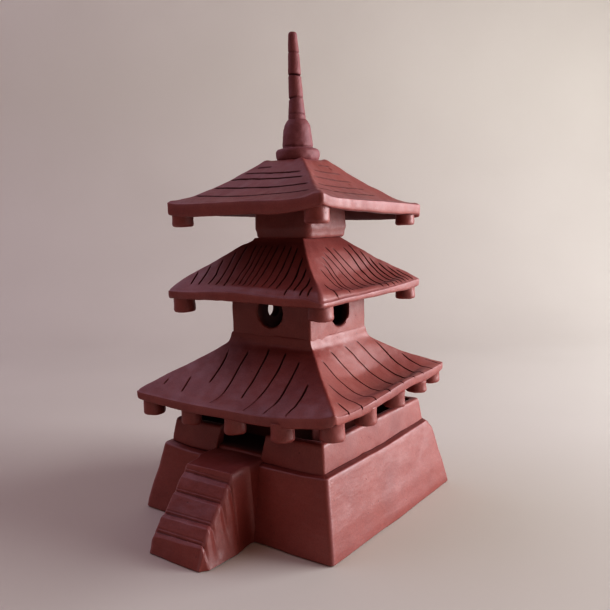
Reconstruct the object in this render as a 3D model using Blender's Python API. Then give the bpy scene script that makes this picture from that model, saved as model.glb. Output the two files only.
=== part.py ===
"""A hand-built clay model of a pagoda: hollow plinth, front stair, three storeys, three roofs, finial.

The tower stands on its own axis at TOWER_Y, so that the whole model, stair included, is centred on
the origin. The stair faces -Y and the model stands on z = 0. Sizes are in metres.
"""

import math

import bmesh
import bpy
from mathutils import Matrix, Vector

MM = 0.001


def in_metres(*points):
    """An outline whose points are written in millimetres."""
    return [tuple(value * MM for value in point) for point in points]


# The seam is left between any two pieces that touch.
SEAM = 0.3 * MM

# The plinth: four battered slabs that swell a little at the waist, with a deck let into their top.
PLINTH_FOOT = 73.5 * MM
PLINTH_BROW = 63.0 * MM
PLINTH_SWELL = 1.0 * MM
PLINTH_WALL = 7.0 * MM
PLINTH_TOP = 45.6 * MM
PLINTH_TOE = 1.0 * MM
BROW_ROUNDING = 1.4 * MM
DECK_HALF = 61.0 * MM
DECK_THICKNESS = 6.4 * MM
DECK_TOP = 46.3 * MM
DECK_EDGE = 1.0 * MM

# The stair: a steep stack of slabs against the front of the plinth, a little left of its middle.
STEP_COUNT = 5
STAIR_X = -4.0 * MM
STAIR_FOOT_Y = -116.5 * MM
STAIR_NOSE_Y = -84.5 * MM
STAIR_FOOT_WIDTH = 41.0 * MM
STAIR_TOP_WIDTH = 34.0 * MM
STAIR_TOP = 45.8 * MM
STEP_ROUNDING = 1.2 * MM

# The first storey: low walls with a doorway cut through the front.
STOREY1_FOOT = 59.4 * MM
STOREY1_HEAD = 58.0 * MM
STOREY1_WALL = 5.8 * MM
STOREY1_TOP = 60.5 * MM
STOREY1_LIP = 1.2 * MM
DOOR_LEFT = -20.0 * MM
DOOR_RIGHT = 16.5 * MM

# The second storey: a square shaft from the deck to the middle roof, with a round window a side. The
# left one is smaller and cut nearer the back.
SHAFT_HALF = 31.2 * MM
SHAFT_WALL = 5.5 * MM
WINDOW_RADIUS = 10.0 * MM
WINDOW_HEIGHT = 127.0 * MM
LEFT_WINDOW_RADIUS = 8.2 * MM
LEFT_WINDOW_PLACE = -7.0 * MM
WINDOW_SIDES = 32

# The roofs are dished slabs. Each point is half the width, the height at the hips, and how far the
# middle of each side hangs below that height: first the front and back, then the right and left.
LOWER_SLOPE = in_metres(
    (36.0, 104.0, 0.4, 1.2),
    (44.0, 98.2, 1.6, 6.2),
    (52.0, 93.2, 3.0, 9.0),
    (60.0, 88.5, 4.4, 8.6),
    (67.0, 84.9, 5.2, 5.8),
    (72.0, 82.3, 5.3, 3.0),
)
LOWER_RIM = in_metres((73.5, 80.9, 5.2, 1.8), (73.5, 76.6, 5.2, 1.8))
LOWER_SOFFIT = in_metres(
    (71.6, 75.0, 5.0, 2.0),
    (65.0, 78.2, 4.8, 5.4),
    (58.0, 81.8, 4.0, 8.0),
    (51.0, 86.0, 2.9, 8.2),
    (44.0, 90.6, 1.8, 5.6),
    (35.0, 97.4, 0.4, 0.6),
)
LOWER_COLLAR = in_metres((31.5, 100.6, 0.0, 0.0), (31.5, 108.0, 0.0, 0.0))
MIDDLE_SLOPE = in_metres(
    (20.0, 172.0, 0.0, 0.0),
    (24.0, 169.0, 0.2, 0.4),
    (30.0, 163.9, 0.6, 1.8),
    (37.0, 158.3, 1.2, 6.4),
    (45.0, 152.5, 1.6, 8.8),
    (52.0, 147.5, 0.8, 5.9),
    (58.0, 142.6, -1.2, 1.4),
)
MIDDLE_RIM = in_metres((59.2, 141.2, -1.5, 0.8), (59.2, 137.6, 0.2, 0.8))
MIDDLE_SOFFIT = in_metres(
    (57.6, 136.4, 0.2, 0.9),
    (50.0, 141.4, 1.0, 4.6),
    (43.0, 146.0, 1.4, 6.8),
    (33.0, 153.2, 0.2, 0.2),
    (30.5, 155.2, 0.0, 0.0),
    (22.0, 163.4, 0.0, 0.0),
)
MIDDLE_HOLE = in_metres((14.5, 166.6, 0.0, 0.0), (14.5, 172.0, 0.0, 0.0))
TOP_SLOPE = in_metres(
    (13.8, 220.4, 0.0, 0.0),
    (24.0, 213.7, 0.4, 0.4),
    (35.0, 206.0, 1.0, 1.0),
    (45.0, 200.3, 1.6, 1.2),
    (52.0, 197.0, 1.7, 1.0),
    (57.0, 195.4, 1.6, 0.8),
)
TOP_RIM = in_metres((58.6, 193.9, 1.5, 0.7), (58.6, 188.2, 1.2, 0.6))
TOP_SOFFIT = in_metres((57.0, 187.0, 1.2, 0.6), (44.0, 193.0, 0.8, 0.5), (24.0, 205.4, 0.1, 0.1), (16.2, 210.4, 0.0, 0.0))

# How far each corner of an eave stands above or below the level, above and under the slab. The corners
# are front left, front right, back right and back left. The warp starts at a half width and grows to
# the rim, evenly at the power 1 and late at the power 2.
LOWER_WARP = in_metres((-4.0, 0.8, 2.5, -1.0), (-4.2, -0.6, 2.4, -1.2))
MIDDLE_WARP = in_metres((-1.0, -2.6, 1.4, 0.6), (-0.6, -1.2, 0.6, 0.2))
TOP_WARP = in_metres((0.5, 2.1, -3.8, -3.0), (0.3, 2.0, -1.8, -1.8))
LOWER_WARP_START = 31.5 * MM
MIDDLE_WARP_START = 33.0 * MM
TOP_WARP_START = 24.0 * MM

# The hips are sharp at the shaft and grow rounder on the way out.
COLLAR_ROUNDING = 0.6 * MM
HIP_ROUNDING = 2.4 * MM
ROUNDING_GROWTH = 0.2
HIP_STEPS = 3
SIDE_STEPS = 10

# The studs: blunt clay pegs that hang under the eaves. The drop is how far each reaches below the rim.
STUD_RADIUS = 6.8 * MM
STUD_TAPER = 0.93
STUD_ROUNDING = 1.5 * MM
STUD_SIDES = 20
STUD_CLEARANCE = 2 * SEAM
CORNER_STUD_DROP = 8.8 * MM
FRONT_STUD_DROP = 9.6 * MM
RIGHT_STUD_DROP = 8.0 * MM
LOWER_STUD_HALF = 66.3 * MM
MIDDLE_STUD_HALF = 52.0 * MM
TOP_STUD_HALF = 51.4 * MM
STUD_PLACES_FRONT = (-35.5 * MM, 0.0, 35.5 * MM)
STUD_PLACES_RIGHT = (-31.0 * MM, 5.0 * MM, 35.5 * MM)

# The third storey: a squat square band that bulges and is pinched in at its foot.
BAND_OUTLINE = in_metres((20.6, 172.3), (21.3, 174.6), (22.0, 178.4), (21.7, 184.0))
BAND_HEAD = 21.4 * MM
BAND_SHOULDER = 17.4 * MM
BAND_BORE = 15.3 * MM
BAND_CORNER = 4.5 * MM
BAND_CORNER_STEPS = 3
BAND_CLEARANCE = 1.3 * SEAM

# The finial: a drum, a bell and a tapering spire, set a little off the axis and leaning back to it.
FINIAL_X = 1.4 * MM
FINIAL_Y = 1.1 * MM
FINIAL_SIDES = 28
RING_OUTLINE = in_metres((12.4, 220.7), (13.5, 221.8), (13.9, 224.4), (13.5, 226.8), (12.0, 228.0))
BELL_OUTLINE = in_metres((9.3, 228.3), (9.8, 229.4), (9.3, 234.0), (8.6, 239.4), (7.5, 243.4), (5.9, 246.0))
SPIRE_OUTLINE = in_metres(
    (5.5, 246.3),
    (5.5, 247.6),
    (4.55, 260.2),
    (4.05, 274.3),
    (3.45, 287.8),
    (2.5, 297.6),
    (1.5, 299.6),
)

# The tower's axis stands behind the origin, because the stair projects at the front only.
TOWER_Y = (-STAIR_FOOT_Y - PLINTH_FOOT) / 2

SIDES = ("front", "right", "back", "left")
CORNERS = ((-1, -1), (1, -1), (1, 1), (-1, 1))

CLAY = (0.30, 0.105, 0.075)
CLAY_DARK = (0.25, 0.085, 0.062)
CLAY_LIGHT = (0.33, 0.120, 0.088)
CLAY_ROUGHNESS = 0.85


def clear_scene():
    for obj in list(bpy.data.objects):
        bpy.data.objects.remove(obj, do_unlink=True)


def clay_material(name, colour):
    material = bpy.data.materials.new(name)
    material.use_nodes = True
    shader = material.node_tree.nodes["Principled BSDF"]
    shader.inputs["Base Color"].default_value = (*colour, 1.0)
    shader.inputs["Roughness"].default_value = CLAY_ROUGHNESS
    shader.inputs["Metallic"].default_value = 0.0
    return material


def add_piece(name, build, colour, tower, side="front", place=(0.0, 0.0, 0.0)):
    """Makes one object from the closed surface that build adds to a bmesh, turned to face its side."""
    surface = bmesh.new()
    build(surface)
    bmesh.ops.recalc_face_normals(surface, faces=surface.faces)
    mesh = bpy.data.meshes.new(name)
    surface.to_mesh(mesh)
    surface.free()
    mesh.materials.append(clay_material(name + "_clay", colour))
    obj = bpy.data.objects.new(name, mesh)
    bpy.context.scene.collection.objects.link(obj)
    obj.parent = tower
    obj.location = place
    obj.rotation_euler = (0.0, 0.0, SIDES.index(side) * math.pi / 2)
    return obj


def bridge(surface, first, second):
    """Faces between two closed loops with the same number of points."""
    for index, vertex in enumerate(first):
        after = (index + 1) % len(first)
        surface.faces.new((vertex, first[after], second[after], second[index]))


def add_loops(surface, loops):
    """The loops' vertices, with faces between each loop and the next."""
    rows = [[surface.verts.new(point) for point in loop] for loop in loops]
    for first, second in zip(rows, rows[1:]):
        bridge(surface, first, second)
    return rows


def stack_of(loops):
    """A solid from loops laid one after another, with a face over the first and the last."""

    def build(surface):
        rows = add_loops(surface, loops)
        surface.faces.new(rows[0])
        surface.faces.new(rows[-1])

    return build


def ring_of(loops):
    """A solid from loops that go round its section, so that it has a hole in its middle."""

    def build(surface):
        rows = add_loops(surface, loops)
        bridge(surface, rows[-1], rows[0])

    return build


def mitred_bar(profile, left_end=None, right_end=None):
    """A straight bar on the front side, swept along X from a closed (half width, height) profile.

    An end with no place of its own is cut on the square's diagonal, half a seam back from it.
    """
    mitre = SEAM / math.sqrt(2)
    loops = []
    for sign, place in ((-1, left_end), (1, right_end)):
        loop = []
        for half, height in profile:
            reach = sign * (half - mitre) if place is None else place
            loop.append((reach, -half, height))
        loops.append(loop)
    return stack_of(loops)


def hang(x, y, height, sags=(0.0, 0.0), warp=None):
    """A height that hangs lower towards the middle of each side of the square, and warps at its corners.

    The sags are those of the front and back and of the right and left, and the warp gives a rise for
    each of the corners.
    """
    near, far = sorted((abs(x), abs(y)))
    sag = sags[0] if abs(y) > abs(x) else sags[1]
    rise = 0.0
    if warp:
        for (sign_x, sign_y), corner_rise in zip(CORNERS, warp):
            rise += corner_rise * (1 + sign_x * x / far) * (1 + sign_y * y / far) / 4
    return height - sag * (1 - (near / far) ** 2) + rise


def square_loop(half, corner, height, sags=(0.0, 0.0), warp=None, side_steps=1, corner_steps=2):
    """A square with rounded corners, whose sides hang between them."""
    across = half - corner
    quarter = []
    for step in range(corner_steps + 1):
        angle = step * math.pi / 2 / corner_steps
        quarter.append((across + corner * math.cos(angle), across + corner * math.sin(angle)))
    for step in range(1, side_steps):
        quarter.append((across - 2 * across * step / side_steps, half))
    loop = []
    for cos, sin in ((1, 0), (0, 1), (-1, 0), (0, -1)):
        for along, away in quarter:
            x = along * cos - away * sin
            y = along * sin + away * cos
            loop.append((x, y, hang(x, y, height, sags, warp)))
    return loop


def hip_rounding(half):
    grown = COLLAR_ROUNDING + ROUNDING_GROWTH * (half - SHAFT_HALF)
    return min(max(grown, COLLAR_ROUNDING), HIP_ROUNDING)


def warp_at(half, corners, start, rim, power):
    """The rises of an eave's corners as they are felt at a half width."""
    share = min(max((half - start) / (rim - start), 0.0), 1.0) ** power
    return [share * rise for rise in corners]


def roof_loops(over, under, warps, start, power):
    """The loops of a roof slab round its section: the outlines over it, then those under it."""
    rim = max(half for outline in over for half, *_ in outline)
    loops = []
    for outlines, corners in ((over, warps[0]), (under, warps[1])):
        for outline in outlines:
            for half, height, *sags in outline:
                warp = warp_at(half, corners, start, rim, power)
                loops.append(square_loop(half, hip_rounding(half), height, sags, warp, SIDE_STEPS, HIP_STEPS))
    return loops


def circle_loop(radius, sides, height, x=0.0, y=0.0):
    loop = []
    for side in range(sides):
        angle = 2 * math.pi * side / sides
        loop.append((x + radius * math.cos(angle), y + radius * math.sin(angle), height))
    return loop


def turned(outline, lean_x=0.0, lean_y=0.0):
    """Circles stacked on the axis, each moved sideways by the lean times its share of the height."""
    foot, head = outline[0][1], outline[-1][1]
    loops = []
    for radius, height in outline:
        share = (height - foot) / (head - foot)
        loops.append(circle_loop(radius, FINIAL_SIDES, height, share * lean_x, share * lean_y))
    return stack_of(loops)


def square_size(x, y, corner):
    """Half the width of the rounded square on which the point lies."""
    near, far = sorted((abs(x), abs(y)))
    if far - near >= corner:
        return far
    return (near + far - math.sqrt(2 * corner**2 - (far - near) ** 2)) / 2 + corner


def soffit_at(soffit, half):
    """The hip height and the two sags of an underside at a half width, between its outline's points."""
    for outer, inner in zip(soffit, soffit[1:]):
        if half >= inner[0]:
            share = (outer[0] - half) / (outer[0] - inner[0])
            return [low + share * (high - low) for low, high in zip(outer[1:], inner[1:])]
    return soffit[-1][1:]


def stud(x, y, drop, eave):
    """A blunt peg that reaches from below an eave's rim up to its hanging underside."""
    rim_point, soffit, corners, start, power = eave
    rim, rim_height, *rim_sags = rim_point
    out = rim / max(abs(x), abs(y))
    foot = hang(x * out, y * out, rim_height, rim_sags, corners) - drop
    low_radius = STUD_RADIUS * STUD_TAPER
    loops = [
        circle_loop(low_radius - STUD_ROUNDING, STUD_SIDES, foot, x, y),
        circle_loop(low_radius - STUD_ROUNDING / 3, STUD_SIDES, foot + STUD_ROUNDING / 3, x, y),
        circle_loop(low_radius, STUD_SIDES, foot + STUD_ROUNDING, x, y),
    ]

    def under_soffit(spot_x, spot_y):
        half = min(square_size(spot_x, spot_y, HIP_ROUNDING), soffit[0][0])
        height, *sags = soffit_at(soffit, half)
        warp = warp_at(half, corners, start, rim, power)
        return spot_x, spot_y, hang(spot_x, spot_y, height, sags, warp) - STUD_CLEARANCE

    for radius in (STUD_RADIUS, STUD_RADIUS / 2):
        flat = circle_loop(radius, STUD_SIDES, foot, x, y)
        loops.append([under_soffit(spot_x, spot_y) for spot_x, spot_y, _ in flat])

    def build(surface):
        rows = add_loops(surface, loops)
        surface.faces.new(rows[0])
        middle = surface.verts.new(under_soffit(x, y))
        last = rows[-1]
        for index, vertex in enumerate(last):
            surface.faces.new((vertex, last[(index + 1) % len(last)], middle))

    return build


def plinth_face(height):
    """Half the plinth's width at a height: a straight batter that swells at the waist."""
    share = height / PLINTH_TOP
    straight = PLINTH_FOOT + (PLINTH_BROW - PLINTH_FOOT) * share
    return straight + PLINTH_SWELL * 2 * min(share, 1 - share)


def build_plinth(tower):
    shelf = DECK_TOP - DECK_THICKNESS - SEAM
    seat = DECK_HALF + SEAM
    waist = PLINTH_TOP / 2
    brow = PLINTH_TOP - BROW_ROUNDING
    profile = [
        (PLINTH_FOOT - PLINTH_WALL, 0.0),
        (PLINTH_FOOT - PLINTH_TOE, 0.0),
        (plinth_face(PLINTH_TOE), PLINTH_TOE),
        (plinth_face(waist), waist),
        (plinth_face(brow), brow),
        (plinth_face(brow) - 0.6 * BROW_ROUNDING, PLINTH_TOP - 0.3 * BROW_ROUNDING),
        (seat, PLINTH_TOP),
        (seat, shelf),
        (plinth_face(shelf) - PLINTH_WALL, shelf),
        (plinth_face(waist) - PLINTH_WALL, waist),
    ]
    for side in SIDES:
        add_piece("plinth_" + side + "_wall", mitred_bar(profile), CLAY, tower, side)
    deck = [
        square_loop(DECK_HALF, DECK_EDGE, shelf + SEAM),
        square_loop(DECK_HALF, DECK_EDGE, DECK_TOP - DECK_EDGE),
        square_loop(DECK_HALF - DECK_EDGE, DECK_EDGE, DECK_TOP),
    ]
    add_piece("plinth_deck", stack_of(deck), CLAY, tower)


def step_slab(index):
    """One slab of the stair, from the plinth's battered face to its own nose."""
    rise = STAIR_TOP / STEP_COUNT
    share = index / (STEP_COUNT - 1)
    foot = index * rise + (SEAM if index else 0.0)
    head = (index + 1) * rise
    nose = STAIR_FOOT_Y + share * (STAIR_NOSE_Y - STAIR_FOOT_Y)
    reach = (STAIR_FOOT_WIDTH + share * (STAIR_TOP_WIDTH - STAIR_FOOT_WIDTH)) / 2
    left = STAIR_X - reach
    right = STAIR_X + reach
    loops = []
    for height in (foot, head):
        back = -plinth_face(min(height, PLINTH_TOP)) - SEAM
        loops.append([(left, back, height), (left, nose, height), (right, nose, height), (right, back, height)])
    return stack_of(loops)


def build_stair(tower):
    for index in range(STEP_COUNT):
        step = add_piece(f"stair_step_{index + 1}", step_slab(index), CLAY, tower)
        bevel = step.modifiers.new("rounding", "BEVEL")
        bevel.width = STEP_ROUNDING
        bevel.segments = 2


def build_first_storey(tower):
    foot = DECK_TOP + SEAM
    inner_head = STOREY1_HEAD - STOREY1_WALL
    shoulder = STOREY1_TOP - STOREY1_LIP
    profile = [
        (STOREY1_FOOT - STOREY1_WALL, foot),
        (STOREY1_FOOT, foot),
        (STOREY1_HEAD, shoulder),
        (STOREY1_HEAD - STOREY1_LIP, STOREY1_TOP),
        (inner_head + STOREY1_LIP, STOREY1_TOP),
        (inner_head, shoulder),
    ]
    left_of_door = mitred_bar(profile, right_end=DOOR_LEFT)
    right_of_door = mitred_bar(profile, left_end=DOOR_RIGHT)
    add_piece("storey1_front_wall_left", left_of_door, CLAY_LIGHT, tower)
    add_piece("storey1_front_wall_right", right_of_door, CLAY_LIGHT, tower)
    for side in SIDES[1:]:
        add_piece("storey1_" + side + "_wall", mitred_bar(profile), CLAY_LIGHT, tower, side)


def window_plug(radius, place):
    """A round plug through the front wall of the shaft, at a place along it."""
    middle = Vector((place, SHAFT_WALL / 2 - SHAFT_HALF, WINDOW_HEIGHT))

    def build(surface):
        bmesh.ops.create_cone(
            surface,
            cap_ends=True,
            segments=WINDOW_SIDES,
            radius1=radius,
            radius2=radius,
            depth=3 * SHAFT_WALL,
            matrix=Matrix.Translation(middle) @ Matrix.Rotation(math.pi / 2, 4, "X"),
        )

    return build


def build_second_storey(tower):
    foot = DECK_TOP + SEAM
    inner = SHAFT_HALF - SHAFT_WALL
    outer_head = soffit_at(MIDDLE_SOFFIT, SHAFT_HALF)[0]
    inner_head = soffit_at(MIDDLE_SOFFIT, inner)[0]
    profile = [
        (inner, foot),
        (SHAFT_HALF, foot),
        (SHAFT_HALF, outer_head - SEAM),
        (inner, inner_head - 2 * SEAM),
    ]
    for side in SIDES:
        plug = window_plug(WINDOW_RADIUS, 0.0)
        if side == "left":
            plug = window_plug(LEFT_WINDOW_RADIUS, LEFT_WINDOW_PLACE)
        cutter = add_piece("window_cutter_" + side, plug, CLAY_DARK, tower, side)
        cutter.hide_render = True
        cutter.display_type = "WIRE"
        wall = add_piece("storey2_" + side + "_wall", mitred_bar(profile), CLAY, tower, side)
        window = wall.modifiers.new("window", "BOOLEAN")
        window.operation = "DIFFERENCE"
        window.solver = "EXACT"
        window.object = cutter


def build_roofs(tower):
    lower_under = (LOWER_RIM[1:], LOWER_SOFFIT, LOWER_COLLAR)
    middle_under = (MIDDLE_RIM[1:], MIDDLE_SOFFIT, MIDDLE_HOLE)
    top_under = (TOP_RIM[1:], TOP_SOFFIT)
    lower = roof_loops((LOWER_SLOPE, LOWER_RIM[:1]), lower_under, LOWER_WARP, LOWER_WARP_START, 2)
    middle = roof_loops((MIDDLE_SLOPE, MIDDLE_RIM[:1]), middle_under, MIDDLE_WARP, MIDDLE_WARP_START, 2)
    top = roof_loops((TOP_SLOPE, TOP_RIM[:1]), top_under, TOP_WARP, TOP_WARP_START, 1)
    add_piece("lower_roof", ring_of(lower), CLAY_DARK, tower)
    add_piece("middle_roof", ring_of(middle), CLAY_DARK, tower)
    add_piece("top_roof", stack_of(top), CLAY_LIGHT, tower)


def build_studs(tower):
    lower = (LOWER_RIM[1], LOWER_SOFFIT, LOWER_WARP[1], LOWER_WARP_START, 2)
    middle = (MIDDLE_RIM[1], MIDDLE_SOFFIT, MIDDLE_WARP[1], MIDDLE_WARP_START, 2)
    top = (TOP_RIM[1], TOP_SOFFIT, TOP_WARP[1], TOP_WARP_START, 1)
    eaves = (("lower", LOWER_STUD_HALF, lower), ("middle", MIDDLE_STUD_HALF, middle), ("top", TOP_STUD_HALF, top))
    for storey, half, eave in eaves:
        for number, (sign_x, sign_y) in enumerate(CORNERS, start=1):
            shape = stud(sign_x * half, sign_y * half, CORNER_STUD_DROP, eave)
            add_piece(f"{storey}_corner_stud_{number}", shape, CLAY_LIGHT, tower)
    rows = ((STUD_PLACES_FRONT, FRONT_STUD_DROP), (STUD_PLACES_RIGHT, RIGHT_STUD_DROP))
    for number, side in enumerate(SIDES):
        places, drop = rows[number % 2]
        angle = number * math.pi / 2
        for index, place in enumerate(places, start=1):
            x = place * math.cos(angle) + LOWER_STUD_HALF * math.sin(angle)
            y = place * math.sin(angle) - LOWER_STUD_HALF * math.cos(angle)
            add_piece(f"lower_{side}_stud_{index}", stud(x, y, drop, lower), CLAY_LIGHT, tower)


def build_third_storey(tower):
    head = soffit_at(TOP_SOFFIT, BAND_HEAD)[0] - BAND_CLEARANCE
    ceiling = soffit_at(TOP_SOFFIT, BAND_SHOULDER)[0] - BAND_CLEARANCE
    profile = [
        *BAND_OUTLINE,
        (BAND_HEAD, head),
        (BAND_SHOULDER, ceiling),
        (BAND_BORE, ceiling),
        (BAND_BORE, BAND_OUTLINE[0][1]),
    ]
    loops = []
    for half, height in profile:
        loops.append(square_loop(half, BAND_CORNER, height, corner_steps=BAND_CORNER_STEPS))
    add_piece("storey3_band", ring_of(loops), CLAY_LIGHT, tower)


def build_finial(tower):
    spot = (FINIAL_X, FINIAL_Y, 0.0)
    add_piece("finial_ring", turned(RING_OUTLINE), CLAY_LIGHT, tower, place=spot)
    add_piece("finial_bell", turned(BELL_OUTLINE), CLAY_LIGHT, tower, place=spot)
    spire = turned(SPIRE_OUTLINE, -FINIAL_X, -FINIAL_Y)
    add_piece("finial_spire", spire, CLAY_LIGHT, tower, place=spot)


def main():
    clear_scene()
    tower = bpy.data.objects.new("tower_axis", None)
    bpy.context.scene.collection.objects.link(tower)
    tower.location = (0.0, TOWER_Y, 0.0)
    build_plinth(tower)
    build_stair(tower)
    build_first_storey(tower)
    build_second_storey(tower)
    build_roofs(tower)
    build_studs(tower)
    build_third_storey(tower)
    build_finial(tower)


main()
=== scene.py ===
"""Looks for the clay pagoda: hand-shaped clay pieces stand in for the plain CAD solids, at the same size.

Shapes are worked out in millimetres about the tower's own axis, and put into the frame at the end.
Sides are numbered front, right, back, left. Corners are numbered from the front left one, going round
by the near one at the front right.
"""

import math

import bmesh
import bpy
import numpy as np
from mathutils import Matrix, Vector


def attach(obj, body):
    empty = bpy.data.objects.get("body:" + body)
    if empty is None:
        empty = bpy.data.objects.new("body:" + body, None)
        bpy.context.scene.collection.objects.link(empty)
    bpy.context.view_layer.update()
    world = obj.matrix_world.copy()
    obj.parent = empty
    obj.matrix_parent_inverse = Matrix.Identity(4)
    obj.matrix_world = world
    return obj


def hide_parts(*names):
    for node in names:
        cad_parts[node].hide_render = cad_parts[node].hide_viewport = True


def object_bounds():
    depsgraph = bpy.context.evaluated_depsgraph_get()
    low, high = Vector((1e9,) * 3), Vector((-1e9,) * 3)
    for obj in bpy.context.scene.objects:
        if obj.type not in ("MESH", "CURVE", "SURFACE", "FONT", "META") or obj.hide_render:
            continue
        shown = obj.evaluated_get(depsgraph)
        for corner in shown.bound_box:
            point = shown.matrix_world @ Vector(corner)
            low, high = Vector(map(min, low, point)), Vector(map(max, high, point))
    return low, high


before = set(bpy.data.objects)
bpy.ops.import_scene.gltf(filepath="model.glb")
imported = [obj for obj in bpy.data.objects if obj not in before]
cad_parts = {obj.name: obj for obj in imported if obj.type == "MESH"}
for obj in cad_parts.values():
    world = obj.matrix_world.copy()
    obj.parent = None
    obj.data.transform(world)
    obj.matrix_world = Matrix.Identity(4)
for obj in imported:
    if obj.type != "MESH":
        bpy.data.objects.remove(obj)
cad_box = [list(corner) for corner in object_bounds()]

MM = 0.001
PLINTH_HALF = 73.5
TOWER_Y = cad_box[1][1] / MM - PLINTH_HALF
SIDES = ("front", "right", "back", "left")
CORNERS = ((-1, -1), (1, -1), (1, 1), (-1, 1))


# Numbers

def ease(share):
    """0 to 1 with a soft start and end."""
    share = np.clip(share, 0.0, 1.0)
    return share * share * (3 - 2 * share)


def curve(points, at):
    """A smooth curve without overshoot through (place, value) points."""
    places = np.array([point[0] for point in points], float)
    values = np.array([point[1] for point in points], float)
    rise = np.diff(values) / np.diff(places)
    slope = np.empty_like(values)
    slope[0], slope[-1] = rise[0], rise[-1]
    both = rise[:-1] * rise[1:]
    total = np.where(both > 0, rise[:-1] + rise[1:], 1.0)
    slope[1:-1] = np.where(both > 0, 2 * both / total, 0.0)
    at = np.clip(at, places[0], places[-1])
    index = np.clip(np.searchsorted(places, at) - 1, 0, len(places) - 2)
    width = places[index + 1] - places[index]
    t = (at - places[index]) / width
    first = (1 + 2 * t) * (1 - t) ** 2 * values[index] + t * (1 - t) ** 2 * width * slope[index]
    second = t * t * (3 - 2 * t) * values[index + 1] + t * t * (t - 1) * width * slope[index + 1]
    return first + second


def cell_value(cells, seed):
    """A repeatable number from -1 to 1 for each whole-numbered cell."""
    mixed = np.sin(cells @ np.array([127.1, 311.7, 74.7]) + seed * 19.19) * 43758.5453
    return 2 * (mixed - np.floor(mixed)) - 1


def lumps(points, size, seed=0):
    """Smooth noise from -1 to 1 whose lumps are about size across."""
    place = np.asarray(points) / size + seed * 7.31
    cell = np.floor(place)
    part = ease(place - cell)
    total = np.zeros(place.shape[:-1])
    for corner in np.ndindex(2, 2, 2):
        weight = np.prod(np.where(corner, part, 1 - part), axis=-1)
        total += weight * cell_value(cell + np.array(corner), seed)
    return total


# Meshes

WELD_MM = 0.01
# Each slot's material, filled in by clay_material
CLAYS = {}


def sheet_faces(shape, wrap_rows=False, wrap_columns=False, hole=None):
    """Quads over a grid of points. A hole is a mask of the cells that are left out."""
    rows, columns = shape
    index = np.arange(rows * columns).reshape(rows, columns)
    if wrap_rows:
        index = np.vstack([index, index[:1]])
    if wrap_columns:
        index = np.hstack([index, index[:, :1]])
    quads = np.stack([index[:-1, :-1], index[:-1, 1:], index[1:, 1:], index[1:, :-1]], axis=-1)
    if hole is not None:
        quads = quads[~hole]
    return quads.reshape(-1, 4)


class Clay:
    """Sheets of points that become one piece. A cut value is painted shade on points in a line or hollow;
    below zero, a painted highlight.
    """

    def __init__(self):
        self.points = []
        self.cuts = []
        self.faces = []
        self.count = 0

    def sheet(self, grid, cut=None, flip=False, **wrap):
        faces = sheet_faces(grid.shape[:2], **wrap)
        if flip:
            faces = faces[:, ::-1]
        self.faces += (faces + self.count).tolist()
        self.points.append(grid.reshape(-1, 3))
        self.cuts.append(np.zeros(grid.shape[0] * grid.shape[1]) if cut is None else cut.ravel())
        self.count += grid.shape[0] * grid.shape[1]

    def cap(self, *rings):
        """One face over each closed ring of points."""
        for ring in rings:
            self.faces.append(list(range(self.count, self.count + len(ring))))
            self.points.append(np.asarray(ring))
            self.cuts.append(np.zeros(len(ring)))
            self.count += len(ring)


def read_vectors(items, name):
    """A mesh's points or normals as rows of three."""
    values = np.empty(len(items) * 3, np.float32)
    items.foreach_get(name, values)
    return values.reshape(-1, 3).astype(float)


def knead(points, normals, strokes, seed):
    """Pushes points in and out along their normals with lumps of several (depth, size) in mm."""
    push = np.zeros(len(points))
    for number, (depth, size) in enumerate(strokes):
        push += depth * lumps(points, size, seed + 5 * number)
    return points + normals * push[:, None]


def weld(mesh):
    surface = bmesh.new()
    surface.from_mesh(mesh)
    bmesh.ops.remove_doubles(surface, verts=surface.verts, dist=WELD_MM)
    bmesh.ops.recalc_face_normals(surface, faces=surface.faces)
    surface.to_mesh(mesh)
    surface.free()


def finish_piece(name, clay, slot, nodes, strokes, seed, nudges=()):
    """Makes the object, kneads it, nudges it, and lets it stand for its CAD nodes."""
    mesh = bpy.data.meshes.new(name)
    mesh.from_pydata(np.vstack(clay.points).tolist(), [], clay.faces)
    # The cut attribute: painted shade above zero, painted highlight below zero
    cut = mesh.attributes.new("cut", "FLOAT", "POINT")
    cut.data.foreach_set("value", np.concatenate(clay.cuts).astype(np.float32))
    weld(mesh)
    points = read_vectors(mesh.vertices, "co")
    points = knead(points, read_vectors(mesh.vertex_normals, "vector"), strokes, seed)
    for centre, radius, push in nudges:
        away = np.linalg.norm((points - np.array(centre)) / radius, axis=1)
        points = points + np.array(push) * ease(1 - away)[:, None]
    world = (points + np.array([0.0, TOWER_Y, 0.0])) * MM
    world = np.clip(world, cad_box[0], cad_box[1])
    mesh.vertices.foreach_set("co", world.astype(np.float32).ravel())
    mesh.polygons.foreach_set("use_smooth", [True] * len(mesh.polygons))
    mesh.update()
    mesh.materials.append(CLAYS[slot])
    piece = bpy.data.objects.new(name, mesh)
    bpy.context.scene.collection.objects.link(piece)
    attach(piece, "root")
    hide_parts(*nodes)


def sheet_piece(name, grid, cut, slot, nodes, strokes, seed, nudges=(), capped=True):
    """A piece from one sheet that goes round it. It has caps, or its last row joins its first."""
    clay = Clay()
    clay.sheet(grid, cut, wrap_rows=not capped, wrap_columns=True)
    if capped:
        clay.cap(grid[0], grid[-1])
    finish_piece(name, clay, slot, nodes, strokes, seed, nudges)


# Square shapes

CORNER_STEPS = 4


def turned(x, y, angle):
    cos, sin = np.cos(angle), np.sin(angle)
    return x * cos - y * sin, x * sin + y * cos


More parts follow.
